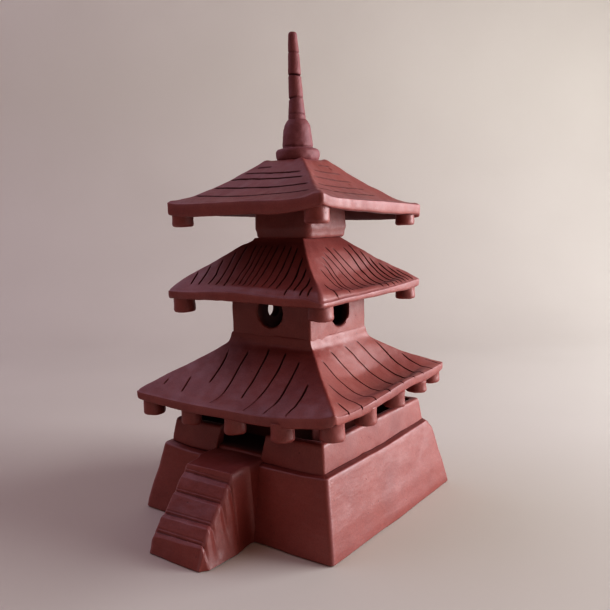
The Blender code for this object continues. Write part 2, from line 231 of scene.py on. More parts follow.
def plan_places(side, half, along, rounding, turn=0.0, shift=(0.0, 0.0), bulge=0.0):
    """Plan places on one side of a rounded and turned square. Along runs from -half to half."""
    straight = half - rounding
    reach = np.abs(along)
    angle = np.clip((reach - straight) / rounding, 0, 1) * math.pi / 4
    x = np.sign(along) * (np.minimum(reach, straight) + rounding * np.sin(angle))
    y = -(straight + rounding * np.cos(angle)) - bulge * (1 - (along / half) ** 2)
    x, y = turned(x, y, side * math.pi / 2)
    x, y = turned(x, y, np.radians(turn))
    return x + shift[0], y + shift[1]


def even_side(half, rounding, fill):
    """Even places along one side for every row, with corner columns at both ends."""
    straight = half - rounding
    columns = [-half + rounding * step / CORNER_STEPS for step in range(CORNER_STEPS + 1)]
    columns += [-straight + 2 * straight * step / fill for step in range(1, fill)]
    columns += [straight + rounding * step / CORNER_STEPS for step in range(CORNER_STEPS)]
    return np.stack(columns, axis=1)


def between(left, right, share):
    """From the left corner's value to the right one's as share runs from -1 to 1."""
    return (left * (1 - share) + right * (1 + share)) / 2


def at_corners(values, x, y):
    """The values of the four corners blended over a square from -1 to 1."""
    total = 0.0
    for (sign_x, sign_y), value in zip(CORNERS, values):
        total = total + value * (1 + sign_x * x) * (1 + sign_y * y) / 4
    return total


def square_sheet(rows, rounding, fill, lifts=(0, 0, 0, 0), sags=(), **plan):
    """Points round a square. Each row is (half width, height, share of the lifts and sags)."""
    half, height, live = np.array(rows, float).T[:, :, None]
    blocks = []
    for side in range(4):
        along = even_side(half[:, 0], rounding, fill)
        share = along / half
        x, y = plan_places(side, half, along, rounding, **plan)
        z = height + live * between(lifts[side], lifts[(side + 1) % 4], share)
        if sags:
            z = z - live * curve(sags[side % 2], share)
        blocks.append(np.stack([x, y, z], axis=-1))
    return np.concatenate(blocks, axis=1)


# Incised lines

CUT_OFFSETS = (-1.9, -0.95, -0.45, 0.0, 0.45, 0.95, 1.9)
CUT_DEPTHS = (0.0, 0.0, 0.82, 1.0, 0.82, 0.0, 0.0)
# Painted shade across a line's bundle: the dark inside a line stands in for the shade in its groove
CUT_PAINTED_SHADES = (0.0, 0.45, 1.0, 1.0, 1.0, 0.45, 0.0)
CUT_BURRS = (0.0, 0.0, 0.0, 0.0, 0.25, 1.0, 0.0)
CUT_DEPTH_MM = 1.5
FULL_DARK = 0.7
LEAST_DARK = 0.05
BURR_HEIGHT = 0.22
# Painted highlight on the raised burr beside a line
BURR_HIGHLIGHT = 0.45
BURR_FILLS = 0.7
OVER_RIM = (0.9, 0.6, 0.2)
LINE_END = 1.5
LEAST_GAP = 0.6
OUTER_ROWS = 20
BUNDLE_FIT = 0.96


def line(depth, *path, **more):
    """An incised line down a roof's side: its depth, then (place, half width) points."""
    return {"depth": depth, "path": path, **more}


# Painted highlight along the eave's upper edge, row by row
RIM_PAINTED_HIGHLIGHT = (0.05, 0.22, 0.34, 0.34, 0.20)
PATCH_MM = 9.0
PATCH_SEED = 2


def rim_highlight_rows(count, rim_start):
    """Painted highlight on the rows of an eave's upper edge."""
    wear = np.zeros(count)
    wear[rim_start - 1:rim_start - 1 + len(RIM_PAINTED_HIGHLIGHT)] = RIM_PAINTED_HIGHLIGHT
    return wear[:, None]


def darkness(dark):
    """The painted shade of a line's groove, a pit or an underside as a cut value, from 0 to 1."""
    return np.clip(dark / FULL_DARK, 0, 1)


def corner_highlight(grid, width, strength):
    """Painted highlight that fades out from the corners of a square piece."""
    off = np.abs(np.abs(grid[..., 0]) - np.abs(grid[..., 1]))
    return strength * ease(1 - off / width)


def patchy(grid):
    """0.3 to 1, so that a painted highlight comes and goes along an edge."""
    return 0.65 + 0.35 * lumps(grid, PATCH_MM, PATCH_SEED)


def line_places(lines, half, top_rows, rounding):
    """Where each line crosses each row. Lines that aren't drawn there huddle at the sides."""
    top = half[:top_rows]
    places = []
    for item in lines:
        path = sorted((reach, along) for along, reach in item["path"])
        first, last = path[0], path[-1]
        along = curve(path, top)
        along = np.where(top < first[0], first[1] * top / first[0], along)
        along = np.where(top > last[0], last[1] * top / last[0], along)
        places.append(along)
    places = np.stack(places, axis=1)
    middle = len(lines) // 2
    for index in range(middle + 1, len(lines)):
        places[:, index] = np.maximum(places[:, index], places[:, index - 1] + LEAST_GAP)
    for index in range(middle - 1, -1, -1):
        places[:, index] = np.minimum(places[:, index], places[:, index + 1] - LEAST_GAP)
    limit = top - rounding[:top_rows] - LEAST_GAP
    for index in range(len(lines)):
        places[:, index] = np.minimum(places[:, index], limit - LEAST_GAP * (len(lines) - 1 - index))
        places[:, index] = np.maximum(places[:, index], -limit + LEAST_GAP * index)
    rest = places[-1] * (half[top_rows:, None] / top[-1])
    return np.vstack([places, rest])


def bundle_widths(centre, half, rounding, width):
    """How wide each line's bundle may be on each row without meeting its neighbours."""
    edge = (half - rounding)[:, None]
    gaps = np.diff(np.hstack([-edge, centre, edge]), axis=1)
    gaps[:, 1:-1] *= 0.5
    room = np.minimum(gaps[:, :-1], gaps[:, 1:])
    return np.minimum(width, room * BUNDLE_FIT / CUT_OFFSETS[-1])


def columns_with_lines(lines, half, top_rows, rounding, width, step):
    """Places along one side for every row: corner columns, a bundle for each line, and filling between.

    Each column has its line's number, or -1, and its part of that line's bundle.
    """
    centre = line_places(lines, half, top_rows, rounding)
    scale = bundle_widths(centre, half, rounding, width)
    columns = [-half + rounding * part / CORNER_STEPS for part in range(CORNER_STEPS + 1)]
    owner = [(-1, 0)] * len(columns)

    def fill_to(target):
        start = columns[-1].copy()
        room = float(np.mean((target - start)[:top_rows][-OUTER_ROWS:]))
        count = max(1, int(round(room / step)))
        for part in range(1, count):
            columns.append(start + (target - start) * part / count)
            owner.append((-1, 0))

    for index in range(len(lines)):
        fill_to(centre[:, index] + CUT_OFFSETS[0] * scale[:, index])
        for number, offset in enumerate(CUT_OFFSETS):
            columns.append(centre[:, index] + offset * scale[:, index])
            owner.append((index, number))
    fill_to(half - rounding)
    for part in range(CORNER_STEPS):
        columns.append(half - rounding + rounding * part / CORNER_STEPS)
        owner.append((-1, 0))
    return np.stack(columns, axis=1), *np.array(owner).T


def line_strength(lines, half, top_rows):
    """How deep each line is on each row, from 0 to its own depth, and how much burr it carries."""
    strength, burr = np.zeros((2, len(half), len(lines)))
    top = half[:top_rows]
    for index, item in enumerate(lines):
        reaches = [reach for _, reach in item["path"]]
        start = ease((top - min(reaches)) / item.get("lead", LINE_END))
        end = ease((max(reaches) - top) / item.get("tail", LINE_END))
        if item.get("over_rim"):
            end = 1.0
            strength[top_rows:top_rows + len(OVER_RIM), index] = np.array(OVER_RIM) * item["depth"]
        if "burr" in item:
            low, high = item["burr"]
            share = ease((top - low) / (high - low)) * ease((max(reaches) - top) / LINE_END)
            burr[:top_rows, index] = share
        strength[:top_rows, index] = start * end * item["depth"] * (1 - BURR_FILLS * burr[:top_rows, index])
    return strength, burr


# Materials

MIX_FIRST_COLOUR, MIX_SECOND_COLOUR, MIX_COLOUR = 6, 7, 2


class Nodes:
    """Short names for the shader nodes that the clay needs."""

    def __init__(self, name):
        self.material = bpy.data.materials.new(name)
        self.material.use_nodes = True
        self.tree = self.material.node_tree
        self.shader = self.tree.nodes["Principled BSDF"]

    def new(self, kind):
        return self.tree.nodes.new(kind)

    def join(self, output, socket):
        self.tree.links.new(output, socket)

    def fill(self, socket, value):
        if isinstance(value, (int, float)):
            socket.default_value = value
        elif isinstance(value, tuple):
            socket.default_value = (*value, 1.0)
        else:
            self.join(value, socket)

    def mapping(self, vector, location=(0, 0, 0), scale=(1, 1, 1)):
        node = self.new("ShaderNodeMapping")
        node.inputs["Location"].default_value = location
        node.inputs["Scale"].default_value = scale
        self.join(vector, node.inputs["Vector"])
        return node.outputs["Vector"]

    def noise(self, vector, scale, detail, rough):
        node = self.new("ShaderNodeTexNoise")
        node.inputs["Scale"].default_value = scale
        node.inputs["Detail"].default_value = detail
        node.inputs["Roughness"].default_value = rough
        self.join(vector, node.inputs["Vector"])
        return node.outputs["Fac"]

    def cells(self, vector, scale):
        node = self.new("ShaderNodeTexVoronoi")
        node.inputs["Scale"].default_value = scale
        self.join(vector, node.inputs["Vector"])
        return node.outputs["Distance"]

    def ramp(self, value, *stops):
        """Each stop is (place, grey) or (place, (red, green, blue))."""
        node = self.new("ShaderNodeValToRGB")
        elements = node.color_ramp.elements
        while len(elements) < len(stops):
            elements.new(0.5)
        for element, (where, colour) in zip(elements, stops):
            element.position = where
            element.color = (*colour, 1.0) if isinstance(colour, tuple) else (colour, colour, colour, 1.0)
        self.join(value, node.inputs["Fac"])
        return node.outputs["Color"]

    def mix(self, kind, factor, first, second):
        node = self.new("ShaderNodeMix")
        node.data_type = "RGBA"
        node.blend_type = kind
        self.fill(node.inputs["Factor"], factor)
        self.fill(node.inputs[MIX_FIRST_COLOUR], first)
        self.fill(node.inputs[MIX_SECOND_COLOUR], second)
        return node.outputs[MIX_COLOUR]

    def maths(self, kind, first, second):
        node = self.new("ShaderNodeMath")
        node.operation = kind
        self.fill(node.inputs[0], first)
        self.fill(node.inputs[1], second)
        return node.outputs[0]


def scaled(colour, red, green, blue):
    return (min(colour[0] * red, 1.0), min(colour[1] * green, 1.0), min(colour[2] * blue, 1.0))


TONE = (0.29, 0.068, 0.055)
FINIAL_TONE = (0.27, 0.098, 0.108)
CUT_SHARE = 0.94
BUMP_STRENGTH, BUMP_DISTANCE = 0.5, 0.0004
SHEEN_WEIGHT, SHEEN_ROUGHNESS = 0.06, 0.5
SHEEN_TINT = (0.82, 0.74, 0.95, 1.0)


def clay_material(name, seed, tone=TONE, streak=(1, 1, 1), grain=1.0, polish=1.0, matt=(0.41, 0.57)):
    """Smoothed red clay: mottled tone, dusty bloom, painted shade in cuts and pits, painted highlights,
    fine grain and finger smears.
    """
    clay = Nodes(name)
    coordinates = clay.new("ShaderNodeTexCoord")
    place = clay.mapping(coordinates.outputs["Object"], location=(seed * 0.37, seed * 0.71, seed * 0.13))
    smeared = clay.mapping(place, scale=streak)

    dark, light = scaled(tone, 0.86, 0.78, 0.78), scaled(tone, 1.12, 1.24, 1.26)
    colour = clay.ramp(clay.noise(place, 42.0, 4.0, 0.6), (0.32, dark), (0.50, tone), (0.70, light))
    patches = clay.ramp(clay.noise(place, 15.0, 2.0, 0.5), (0.45, 0.0), (0.68, 0.6))
    colour = clay.mix("MIX", patches, colour, scaled(tone, 1.08, 0.92, 0.74))
    bloom = clay.ramp(clay.noise(smeared, 95.0, 4.0, 0.7), (0.52, 0.0), (0.76, 0.20))
    colour = clay.mix("MIX", bloom, colour, scaled(tone, 1.3, 2.2, 2.6))
    speck = clay.ramp(clay.noise(place, 1100.0, 2.0, 0.7), (0.34, 0.80), (0.50, 1.0), (0.74, 1.10))
    colour = clay.mix("MULTIPLY", 0.7, colour, speck)

    pit_shape = clay.ramp(clay.cells(place, 240.0), (0.05, 0.0), (0.15, 1.0))
    pit_where = clay.ramp(clay.noise(place, 60.0, 1.0, 0.5), (0.60, 1.0), (0.66, 0.0))
    pit = clay.maths("MAXIMUM", pit_shape, pit_where)
    # Painted shade in the pits
    pit_shade_share = clay.maths("MULTIPLY", clay.maths("SUBTRACT", 1.0, pit), 0.7)
    colour = clay.mix("MIX", pit_shade_share, colour, scaled(tone, 0.35, 0.3, 0.3))

    # The cut attribute paints shade above zero and a pale lilac highlight below zero
    cut = clay.new("ShaderNodeAttribute")
    cut.attribute_name = "cut"
    cut_share = clay.maths("MULTIPLY", cut.outputs["Fac"], CUT_SHARE)
    highlight_share = clay.maths("MULTIPLY", cut.outputs["Fac"], -1.0)
    colour = clay.mix("MIX", cut_share, colour, scaled(tone, 0.10, 0.07, 0.07))
    colour = clay.mix("MIX", highlight_share, colour, scaled(tone, 1.6, 3.6, 4.8))
    clay.join(colour, clay.shader.inputs["Base Color"])

    layers = (
        (clay.noise(smeared, 190.0, 3.0, 0.6), 0.55),
        (clay.noise(place, 430.0, 3.0, 0.6), 0.30 * grain),
        (clay.noise(place, 1500.0, 2.0, 0.65), 0.10 * grain),
        (pit, 0.5),
    )
    relief = 0.0
    for layer, height in layers:
        relief = clay.maths("ADD", relief, clay.maths("MULTIPLY", layer, height))
    bump = clay.new("ShaderNodeBump")
    bump.inputs["Strength"].default_value = BUMP_STRENGTH
    bump.inputs["Distance"].default_value = BUMP_DISTANCE
    clay.join(relief, bump.inputs["Height"])
    clay.join(bump.outputs["Normal"], clay.shader.inputs["Normal"])

    rough = clay.ramp(clay.noise(smeared, 120.0, 3.0, 0.6), (0.30, matt[0]), (0.70, matt[1]))
    clay.join(clay.maths("MAXIMUM", rough, cut_share), clay.shader.inputs["Roughness"])
    gleam = clay.maths("SUBTRACT", polish, clay.maths("MAXIMUM", cut_share, 0.0))
    clay.join(clay.maths("MAXIMUM", gleam, 0.0), clay.shader.inputs["Specular IOR Level"])
    clay.shader.inputs["Sheen Weight"].default_value = SHEEN_WEIGHT
    clay.shader.inputs["Sheen Roughness"].default_value = SHEEN_ROUGHNESS
    clay.shader.inputs["Sheen Tint"].default_value = SHEEN_TINT
    CLAYS[name] = clay.material


clay_material("plinth_clay", 1, streak=(1, 1, 2.6))
clay_material("stair_clay", 2, streak=(0.6, 1.4, 1.6))
clay_material("wall_clay", 3, grain=1.2)
clay_material("roof_clay", 3, grain=1.2)
clay_material("stud_clay", 5, streak=(1.5, 1.5, 0.7))
clay_material("finial_clay", 6, FINIAL_TONE, grain=1.8, polish=0.6, matt=(0.55, 0.7))


# Roofs

# Rows round an eave's edge: how far in from the rim, how far below its lip, and share of its depth
RIM_ROWS = (
    (0.50, 0.0, 0.0),
    (0.20, 0.04, 0.0),
    (0.05, 0.20, 0.0),
    (0.0, 0.48, 0.0),
    (0.0, 0.3, 0.33),
    (0.02, -0.2, 0.66),
    (0.12, -1.0, 1.0),
    (0.32, -0.5, 1.0),
    (0.75, -0.12, 1.0),
    (1.5, 0.0, 1.0),
)
RIM_BLEND = 8.0
# Painted shade on an eave's underside
UNDER_PAINTED_SHADE = 0.5
# Painted highlight round an eave's corners
CORNER_HIGHLIGHT_REACH = 14.0
CORNER_HIGHLIGHT_WIDTH, CORNER_HIGHLIGHT = 5.0, 0.32
LAST_ROW_GAP = 0.6
EAVE_BAND = 3.0
THINNING = 12.0
UNDER_BEAD = 0.9


def roof_top(roof, side, half, share):
    """The height of a roof's upper surface on one side."""
    left = curve(roof["hips"][side], half)
    right = curve(roof["hips"][(side + 1) % 4], half)
    dish = curve(roof["dish"][side % 2], half) * (1 - share**2)
    wave = curve(roof["rim_sag"][side % 2], share * roof["rim"])
    near = ease((half - roof["rim"] + RIM_BLEND) / RIM_BLEND)
    return between(left, right, share) - dish * (1 - near) - wave * near


def roof_under(roof, side, half, share):
    """The height of a roof's underside on one side."""
    depth = curve(roof["rim_depth"][side % 2], share * roof["rim"])
    inner = np.clip((roof["rim"] - EAVE_BAND - half) / THINNING, 0, 1)
    drop = (depth + UNDER_BEAD) * (1 - inner) + roof["slab"] * inner
    return roof_top(roof, side, half, share) - drop


def rim_heights(roof, side, share):
    """The heights of the rows that go round the eave's edge."""
    lip = roof_top(roof, side, np.full((len(RIM_ROWS), 1), roof["rim"]), share)
    depth = curve(roof["rim_depth"][side % 2], share * roof["rim"])
    steps = np.array(RIM_ROWS)
    return lip - steps[:, 1:2] - steps[:, 2:3] * depth


def roof_turn_and_shift(roof, half):
    """How far each row is turned, in degrees, and how far it is moved in x and y."""
    turn, shift_x, shift_y = (curve(roof[name], half) for name in ("turn", "shift_x", "shift_y"))
    return turn, (shift_x, shift_y)


def pulled(roof, half, x, y):
    """Plan places with the eave's corners drawn out or in by each roof's corner pulls."""
    share = (half / roof["rim"]) ** 2
    pull_x, pull_y = zip(*roof.get("corner_pulls", ((0.0, 0.0),) * 4))
    moved_x = x + share * at_corners(pull_x, x / half, y / half)
    moved_y = y + share * at_corners(pull_y, x / half, y / half)
    return moved_x, moved_y


def drawn_lines(roof, side, half, top_rows, rounding):
    """Places along one side with its lines, and how deep, how dark and how raised each point is."""
    lines = roof["lines"][side % 2]
    width, step = roof["line_width"], roof["step"]
    along, number, part = columns_with_lines(lines, half, top_rows, rounding, width, step)
    strength, burr = line_strength(lines, half, top_rows)
    layers = []
    for amount, profile in ((strength, CUT_DEPTHS), (strength, CUT_PAINTED_SHADES), (burr, CUT_BURRS)):
        layers.append(np.where(number >= 0, amount[:, number] * np.array(profile)[part], 0.0))
    return along, *layers


def roof_sheet(roof):
    """A roof slab as one closed sheet of rows round its section, with its lines cut in."""
    rim, first, row_step = roof["rim"], roof["first_rows"], roof["row_step"]
    slope = np.concatenate([first, np.arange(first[-1] + row_step, rim - LAST_ROW_GAP, row_step)])
    soffit, inner = np.array(roof["soffit_rows"]), np.array(roof["inner_rows"])
    half = np.concatenate([slope, [rim - row[0] for row in RIM_ROWS], soffit, inner[:, 0]])
    top_rows = len(slope)
    first_soffit = top_rows + len(RIM_ROWS)
    first_inner = first_soffit + len(soffit)
    rounding = np.interp(half, (slope[0], rim), roof["rounding"])
    column = half[:, None]
    turn, shift = roof_turn_and_shift(roof, column)
    outer = ease((column - rim + CORNER_HIGHLIGHT_REACH) / CORNER_HIGHLIGHT_REACH)
    blocks, cuts = [], []
    for side in range(4):
        along, cut, dark, raised = drawn_lines(roof, side, half, top_rows, rounding)
        share = along / column
        under = slice(first_soffit, first_inner)
        z = np.vstack([
            roof_top(roof, side, column[:top_rows], share[:top_rows]),
            rim_heights(roof, side, share[top_rows:first_soffit]),
            roof_under(roof, side, column[under], share[under]),
            np.broadcast_to(inner[:, 1:2], share[first_inner:].shape),
        ])
        x, y = plan_places(side, column, along, rounding[:, None], turn, shift)
        x, y = pulled(roof, column, x, y)
        block = np.stack([x, y, z - CUT_DEPTH_MM * cut + BURR_HEIGHT * raised], axis=-1)
        patches = patchy(block)
        # Painted highlights on the eave's upper edge, the burrs and the corners, left out where a line's
        # painted shade is
        edges = rim_highlight_rows(len(half), top_rows) * patches + BURR_HIGHLIGHT * raised
        painted_highlight = np.maximum(edges, outer * corner_highlight(block, CORNER_HIGHLIGHT_WIDTH, CORNER_HIGHLIGHT) * patches)
        # Painted shade on the underside
        dark[first_soffit:] = UNDER_PAINTED_SHADE
        blocks.append(block)
        cuts.append(darkness(dark) - np.where(dark > LEAST_DARK, 0.0, painted_highlight))
    return np.concatenate(blocks, axis=1), np.concatenate(cuts, axis=1)


def build_roof(name, roof, strokes, seed):
    sheet_piece(name + "_clay", *roof_sheet(roof), "roof_clay", [name], strokes, seed, capped=False)


# Lower roof

LOWER_FRONT_LINES = (
    line(0.5, (-55.1, 61.2), (-55.6, 65.4)),
    line(0.45, (-40.9, 56.6), (-39.5, 67)),
    line(0.95, (-28.5, 36.6), (-25.5, 44.2), (-24.8, 52), (-25, 58.6), tail=3),
    line(
        0.85, (-12.6, 36.4), (-11.4, 47.6), (-10.2, 56), (-10, 61), (-11.6, 66.8), (-14.3, 70.4),
        burr=(59, 63),
    ),
    line(1.05, (1.4, 33.8), (2.6, 37.6), (4, 48), (4.7, 56), (4.6, 64.6), tail=3),
    line(
        1.05, (15.3, 35), (17.1, 46.2), (17.5, 54.8), (16.9, 59.8), (15.6, 65.2), (13.4, 69.2),
        (11.2, 71.2), burr=(61, 64.5),
    ),
    line(
        1.05, (28.3, 39.8), (29.4, 47), (30.2, 55.6), (30.7, 61.6), (30.1, 65.4), (27.9, 68.6),
        (25.5, 71.3), burr=(65, 68),
    ),
    line(1, (43.6, 53.2), (44.5, 62.2), (44.2, 66.4), (42.3, 69.4), (40.8, 72), burr=(69, 71)),
)
LOWER_RIGHT_LINES = (
    line(1, (-58.9, 65.4), (-58, 68.8), (-56.6, 72.3), over_rim=True),
    line(1.05, (-47.3, 52), (-46.4, 57.2), (-46, 63), (-44.4, 67.6), (-41.6, 72.6), over_rim=True),
    line(
        1.1, (-32.6, 38.8), (-31.1, 43.6), (-29.4, 50), (-28.8, 58), (-28.2, 64.2), (-26.4, 72.6),
        over_rim=True,
    ),
    line(
        1.1, (-17.5, 35), (-14.9, 39.8), (-12.1, 43.8), (-9.4, 48.5), (-8.6, 54), (-8.2, 60),
        (-8.8, 72), over_rim=True,
    ),
    line(
        1.1, (-0.7, 34.2), (2.7, 38), (5.5, 42.2), (8, 46.4), (9.2, 51.5), (9.9, 58), (8.6, 72),
        over_rim=True,
    ),
    line(
        1.1, (15, 33.6), (17.7, 37.6), (21.2, 43.2), (23.8, 47.6), (25.2, 53), (26.2, 60), (25, 72.2),
        over_rim=True,
    ),
    line(
        1.1, (34.2, 36.2), (35.4, 39.6), (37.1, 46.4), (37.7, 54), (38.4, 61.6), (38.2, 72.6),
        over_rim=True,
    ),
    line(1.05, (48.2, 50.4), (49.2, 57), (49.9, 61.4), (51, 66.8), (52.6, 72.6), over_rim=True),
    line(1, (60.6, 62.6), (64, 67.6), (66.2, 72.2), over_rim=True),
)
LOWER_COVE = ((29.6, 113.6), (31.12, 112.4), (31.55, 111.4), (31.95, 109.6), (32.6, 107.6), (34, 105.6))
# A roof's curves run by half width or along its eave. Hips are the heights at the four corners. The
# dish, the eave's sag and its depth are for the front and the right, which the back and left repeat
LOWER_ROOF = {
    "hips": (
        (
            *LOWER_COVE[:4], (33, 106.4), (35.8, 103.6), (41.2, 99.5), (45.7, 96.6), (52.3, 92),
            (59.1, 87.7), (65.7, 83.4), (70, 80.3), (72.6, 77.9),
        ),
        (
            *LOWER_COVE[:3], (31.8, 109.2), (32.4, 106.4), (37.7, 103), (43.3, 99.1), (48.8, 95.6),
            (54.1, 92.7), (59.2, 90), (64.1, 87.4), (68.9, 84.9), (72.6, 82.5),
        ),
        (
            *LOWER_COVE[:4], (33.4, 105.9), (39.3, 101.1), (44.3, 97.6), (49.4, 94.4), (55.6, 91.2),
            (59.7, 89.4), (64.9, 86.9), (69.1, 85.1), (72.6, 83.9),
        ),
        (*LOWER_COVE, (36, 103.4), (44, 97.6), (52, 92.6), (60, 88), (67, 83.6), (72.6, 80.2)),
    ),
    "dish": (
        ((29.6, 0), (31.5, 0), (36, 0.4), (44, 1.6), (52, 3), (60, 4.4), (67, 5.2), (72.6, 5.3)),
        (
            (29.6, 0), (31.5, 0), (34, 0.3), (38, 2.6), (43.4, 6.4), (48.3, 8.8), (53.3, 9.2),
            (58.2, 9), (62.5, 7.6), (67, 5.6), (72.6, 2.6),
        ),
    ),
    "rim_sag": (
        (
            (-73, 0), (-62, 1.2), (-49, 2.3), (-24, 4), (0, 4.9), (20, 5.6), (32, 5.4), (43, 4.6),
            (52, 3.7), (62, 2.6), (68, 1.3), (73, 0),
        ),
        (
            (-73, 0), (-68, 1.9), (-62, 2.6), (-51, 3.1), (-40, 3.2), (-28, 2.7), (-16, 2.2),
            (-3, 1.25), (8, 0.7), (20, 0.4), (32, 0.7), (48, 1), (64, 0.6), (73, 0),
        ),
    ),
    "rim_depth": (
        ((-70, 5.1), (-53, 5.5), (-20, 5.8), (7, 5.8), (26, 6.1), (52, 6.4), (64, 6.5), (72, 6.3)),
        (
            (-72, 5.6), (-61, 4.8), (-39, 5.4), (-20, 5.2), (1, 5.8), (20, 5.7), (44, 6), (64, 5.3),
            (72, 5.2),
        ),
    ),
    "turn": ((29.6, -1), (31.5, -1), (32.6, 0.5), (35, 1.2), (40, 1.5), (72.6, 2.2)),
    "shift_x": ((29.6, 0.5), (31.5, 0.5), (36, 0), (72.6, -0.9)),
    "shift_y": ((29.6, 0.3), (31.5, 0.3), (36, 0), (72.6, -0.9)),
    "corner_pulls": ((-2.7, -0.8), (-0.9, 0), (0, -0.4), (2.6, 0)),
    "rim": 72.6,
    "slab": 7.7,
    "first_rows": (29.6, 30.1, 30.6, 31.12, 31.3, 31.45, 31.6, 31.8, 32.1, 32.5, 33),
    "row_step": 0.62,
    "soffit_rows": (69.4, 65, 58, 51, 44, 37, 33),
    "inner_rows": ((30.3, 99), (30.3, 110)),
    "rounding": (0.9, 2.8),
    "lines": (LOWER_FRONT_LINES, LOWER_RIGHT_LINES),
    "line_width": 0.50,
    "step": 2,
}


# Middle roof

MIDDLE_FRONT_LINES = (
    line(0.55, (-43.6, 46), (-41.7, 55.4)),
    line(0.58, (-37.8, 40.4), (-36.3, 46.4), (-35.2, 55.4)),
    line(0.70, (-31.6, 35.4), (-30, 42), (-28.2, 47), (-27.1, 55.2), tail=2),
    line(0.55, (-26.2, 29), (-22.4, 46), (-20.4, 56), lead=2, tail=2.5),
    line(0.66, (-20.2, 25), (-19, 36.4), (-16.6, 46.2), (-13.3, 56.6), tail=2.5),
    line(0.58, (-14, 23.4), (-12.6, 29), (-11.1, 35), (-9.7, 46.4), (-7.1, 56), lead=2, tail=3),
    line(0.51, (-8.9, 23.6), (-7.6, 35), (-5.6, 46.5), (-3.4, 55.4), lead=2, tail=3),
    line(0.66, (-5.4, 23), (-3.8, 35.2), (-1.7, 46.6), (0.4, 55.4), lead=2, tail=2.5),
    line(0.51, (-0.4, 23.4), (0.8, 35.4), (2.4, 45.6), (4.4, 55.6), lead=2, tail=3),
    line(0.70, (3.9, 22.6), (5.3, 35.6), (6.5, 44.6), (8.7, 55.6), tail=2.5),
    line(0.66, (9, 23), (11.5, 36.2), (13.6, 47.6), (14.6, 55.6), tail=2.5),
    line(0.74, (14, 23.4), (17.8, 39.8), (19.4, 50.4), (19.9, 56), tail=2.5),
    line(0.74, (19, 24), (23.3, 40.6), (25.3, 55.6), tail=2),
    line(0.86, (26.4, 28.4), (29.6, 38), (31.9, 46.2), (33.5, 55.2), (32.9, 58.2), tail=1),
    line(0.82, (34.6, 36.8), (37.1, 46.2), (38.4, 56.4), tail=2),
    line(0.86, (42, 44.2), (43.9, 52), (43.6, 58.2), tail=1),
    line(0.78, (48.1, 51.4), (48.8, 58), tail=1),
)
MIDDLE_RIGHT_LINES = (
    line(1.15, (-39.5, 47.6), (-41.3, 53.4), (-42.2, 58.3), tail=1),
    line(1.15, (-25.4, 35.8), (-25, 38.2), (-24.5, 41.8), (-25, 46.4), (-28.4, 57.6), tail=1),
    line(1.04, (-18.7, 33.4), (-17.6, 36), (-17.8, 39.6), (-18.8, 44), (-22.6, 56.6), tail=1.7),
    line(
        0.80, (-16, 29.4), (-13.9, 31.6), (-13.1, 34.6), (-13, 38), (-13.3, 42), (-16, 55.6), lead=1.7,
        tail=2.2,
    ),
    line(
        0.98, (-10.8, 27.6), (-8.5, 30.8), (-5.9, 34.6), (-4.2, 37.6), (-3.3, 41.2), (-3, 53), lead=1.7,
        tail=3.9,
    ),
    line(
        1.10, (-4.1, 24.8), (-2.4, 29.6), (-0.3, 33.4), (1.8, 37.2), (3, 41.8), (4, 52), lead=1,
        tail=4.4,
    ),
    line(
        1.04, (1.8, 26), (4, 29.8), (6.7, 33.8), (9.2, 37.2), (10.6, 40.6), (11.4, 45.4), (11, 57.6),
        lead=1.7, tail=1.7,
    ),
    line(
        1.15, (13.4, 26.4), (15.2, 31.2), (16.2, 35.4), (17, 39.6), (17.5, 46), (17.2, 58), lead=1,
        tail=1.1,
    ),
    line(
        1.15, (20.4, 25), (21.3, 29.6), (22.4, 34.4), (23.3, 38.4), (23.7, 46), (24.3, 58.4), lead=1,
        tail=1,
    ),
    line(1.04, (26.4, 29.6), (27.5, 35.5), (28.6, 41.2), (29.1, 48), (29.8, 58.2), lead=1.1, tail=1),
    line(1.15, (31, 34.8), (31.6, 39), (32.4, 43.2), (33.1, 47.4), (34.6, 58.2), lead=1, tail=1),
    line(1.15, (35.4, 39.6), (36.8, 44.2), (38.2, 48.6), (39.3, 58.2), lead=1, tail=1),
    line(1.15, (39.8, 42.6), (41.1, 46.2), (42.3, 50.2), (43.8, 58.3), tail=1),
    line(1.15, (44.3, 47.6), (47, 52.2), (48.6, 55.6), (49.6, 58.4), tail=1),
)
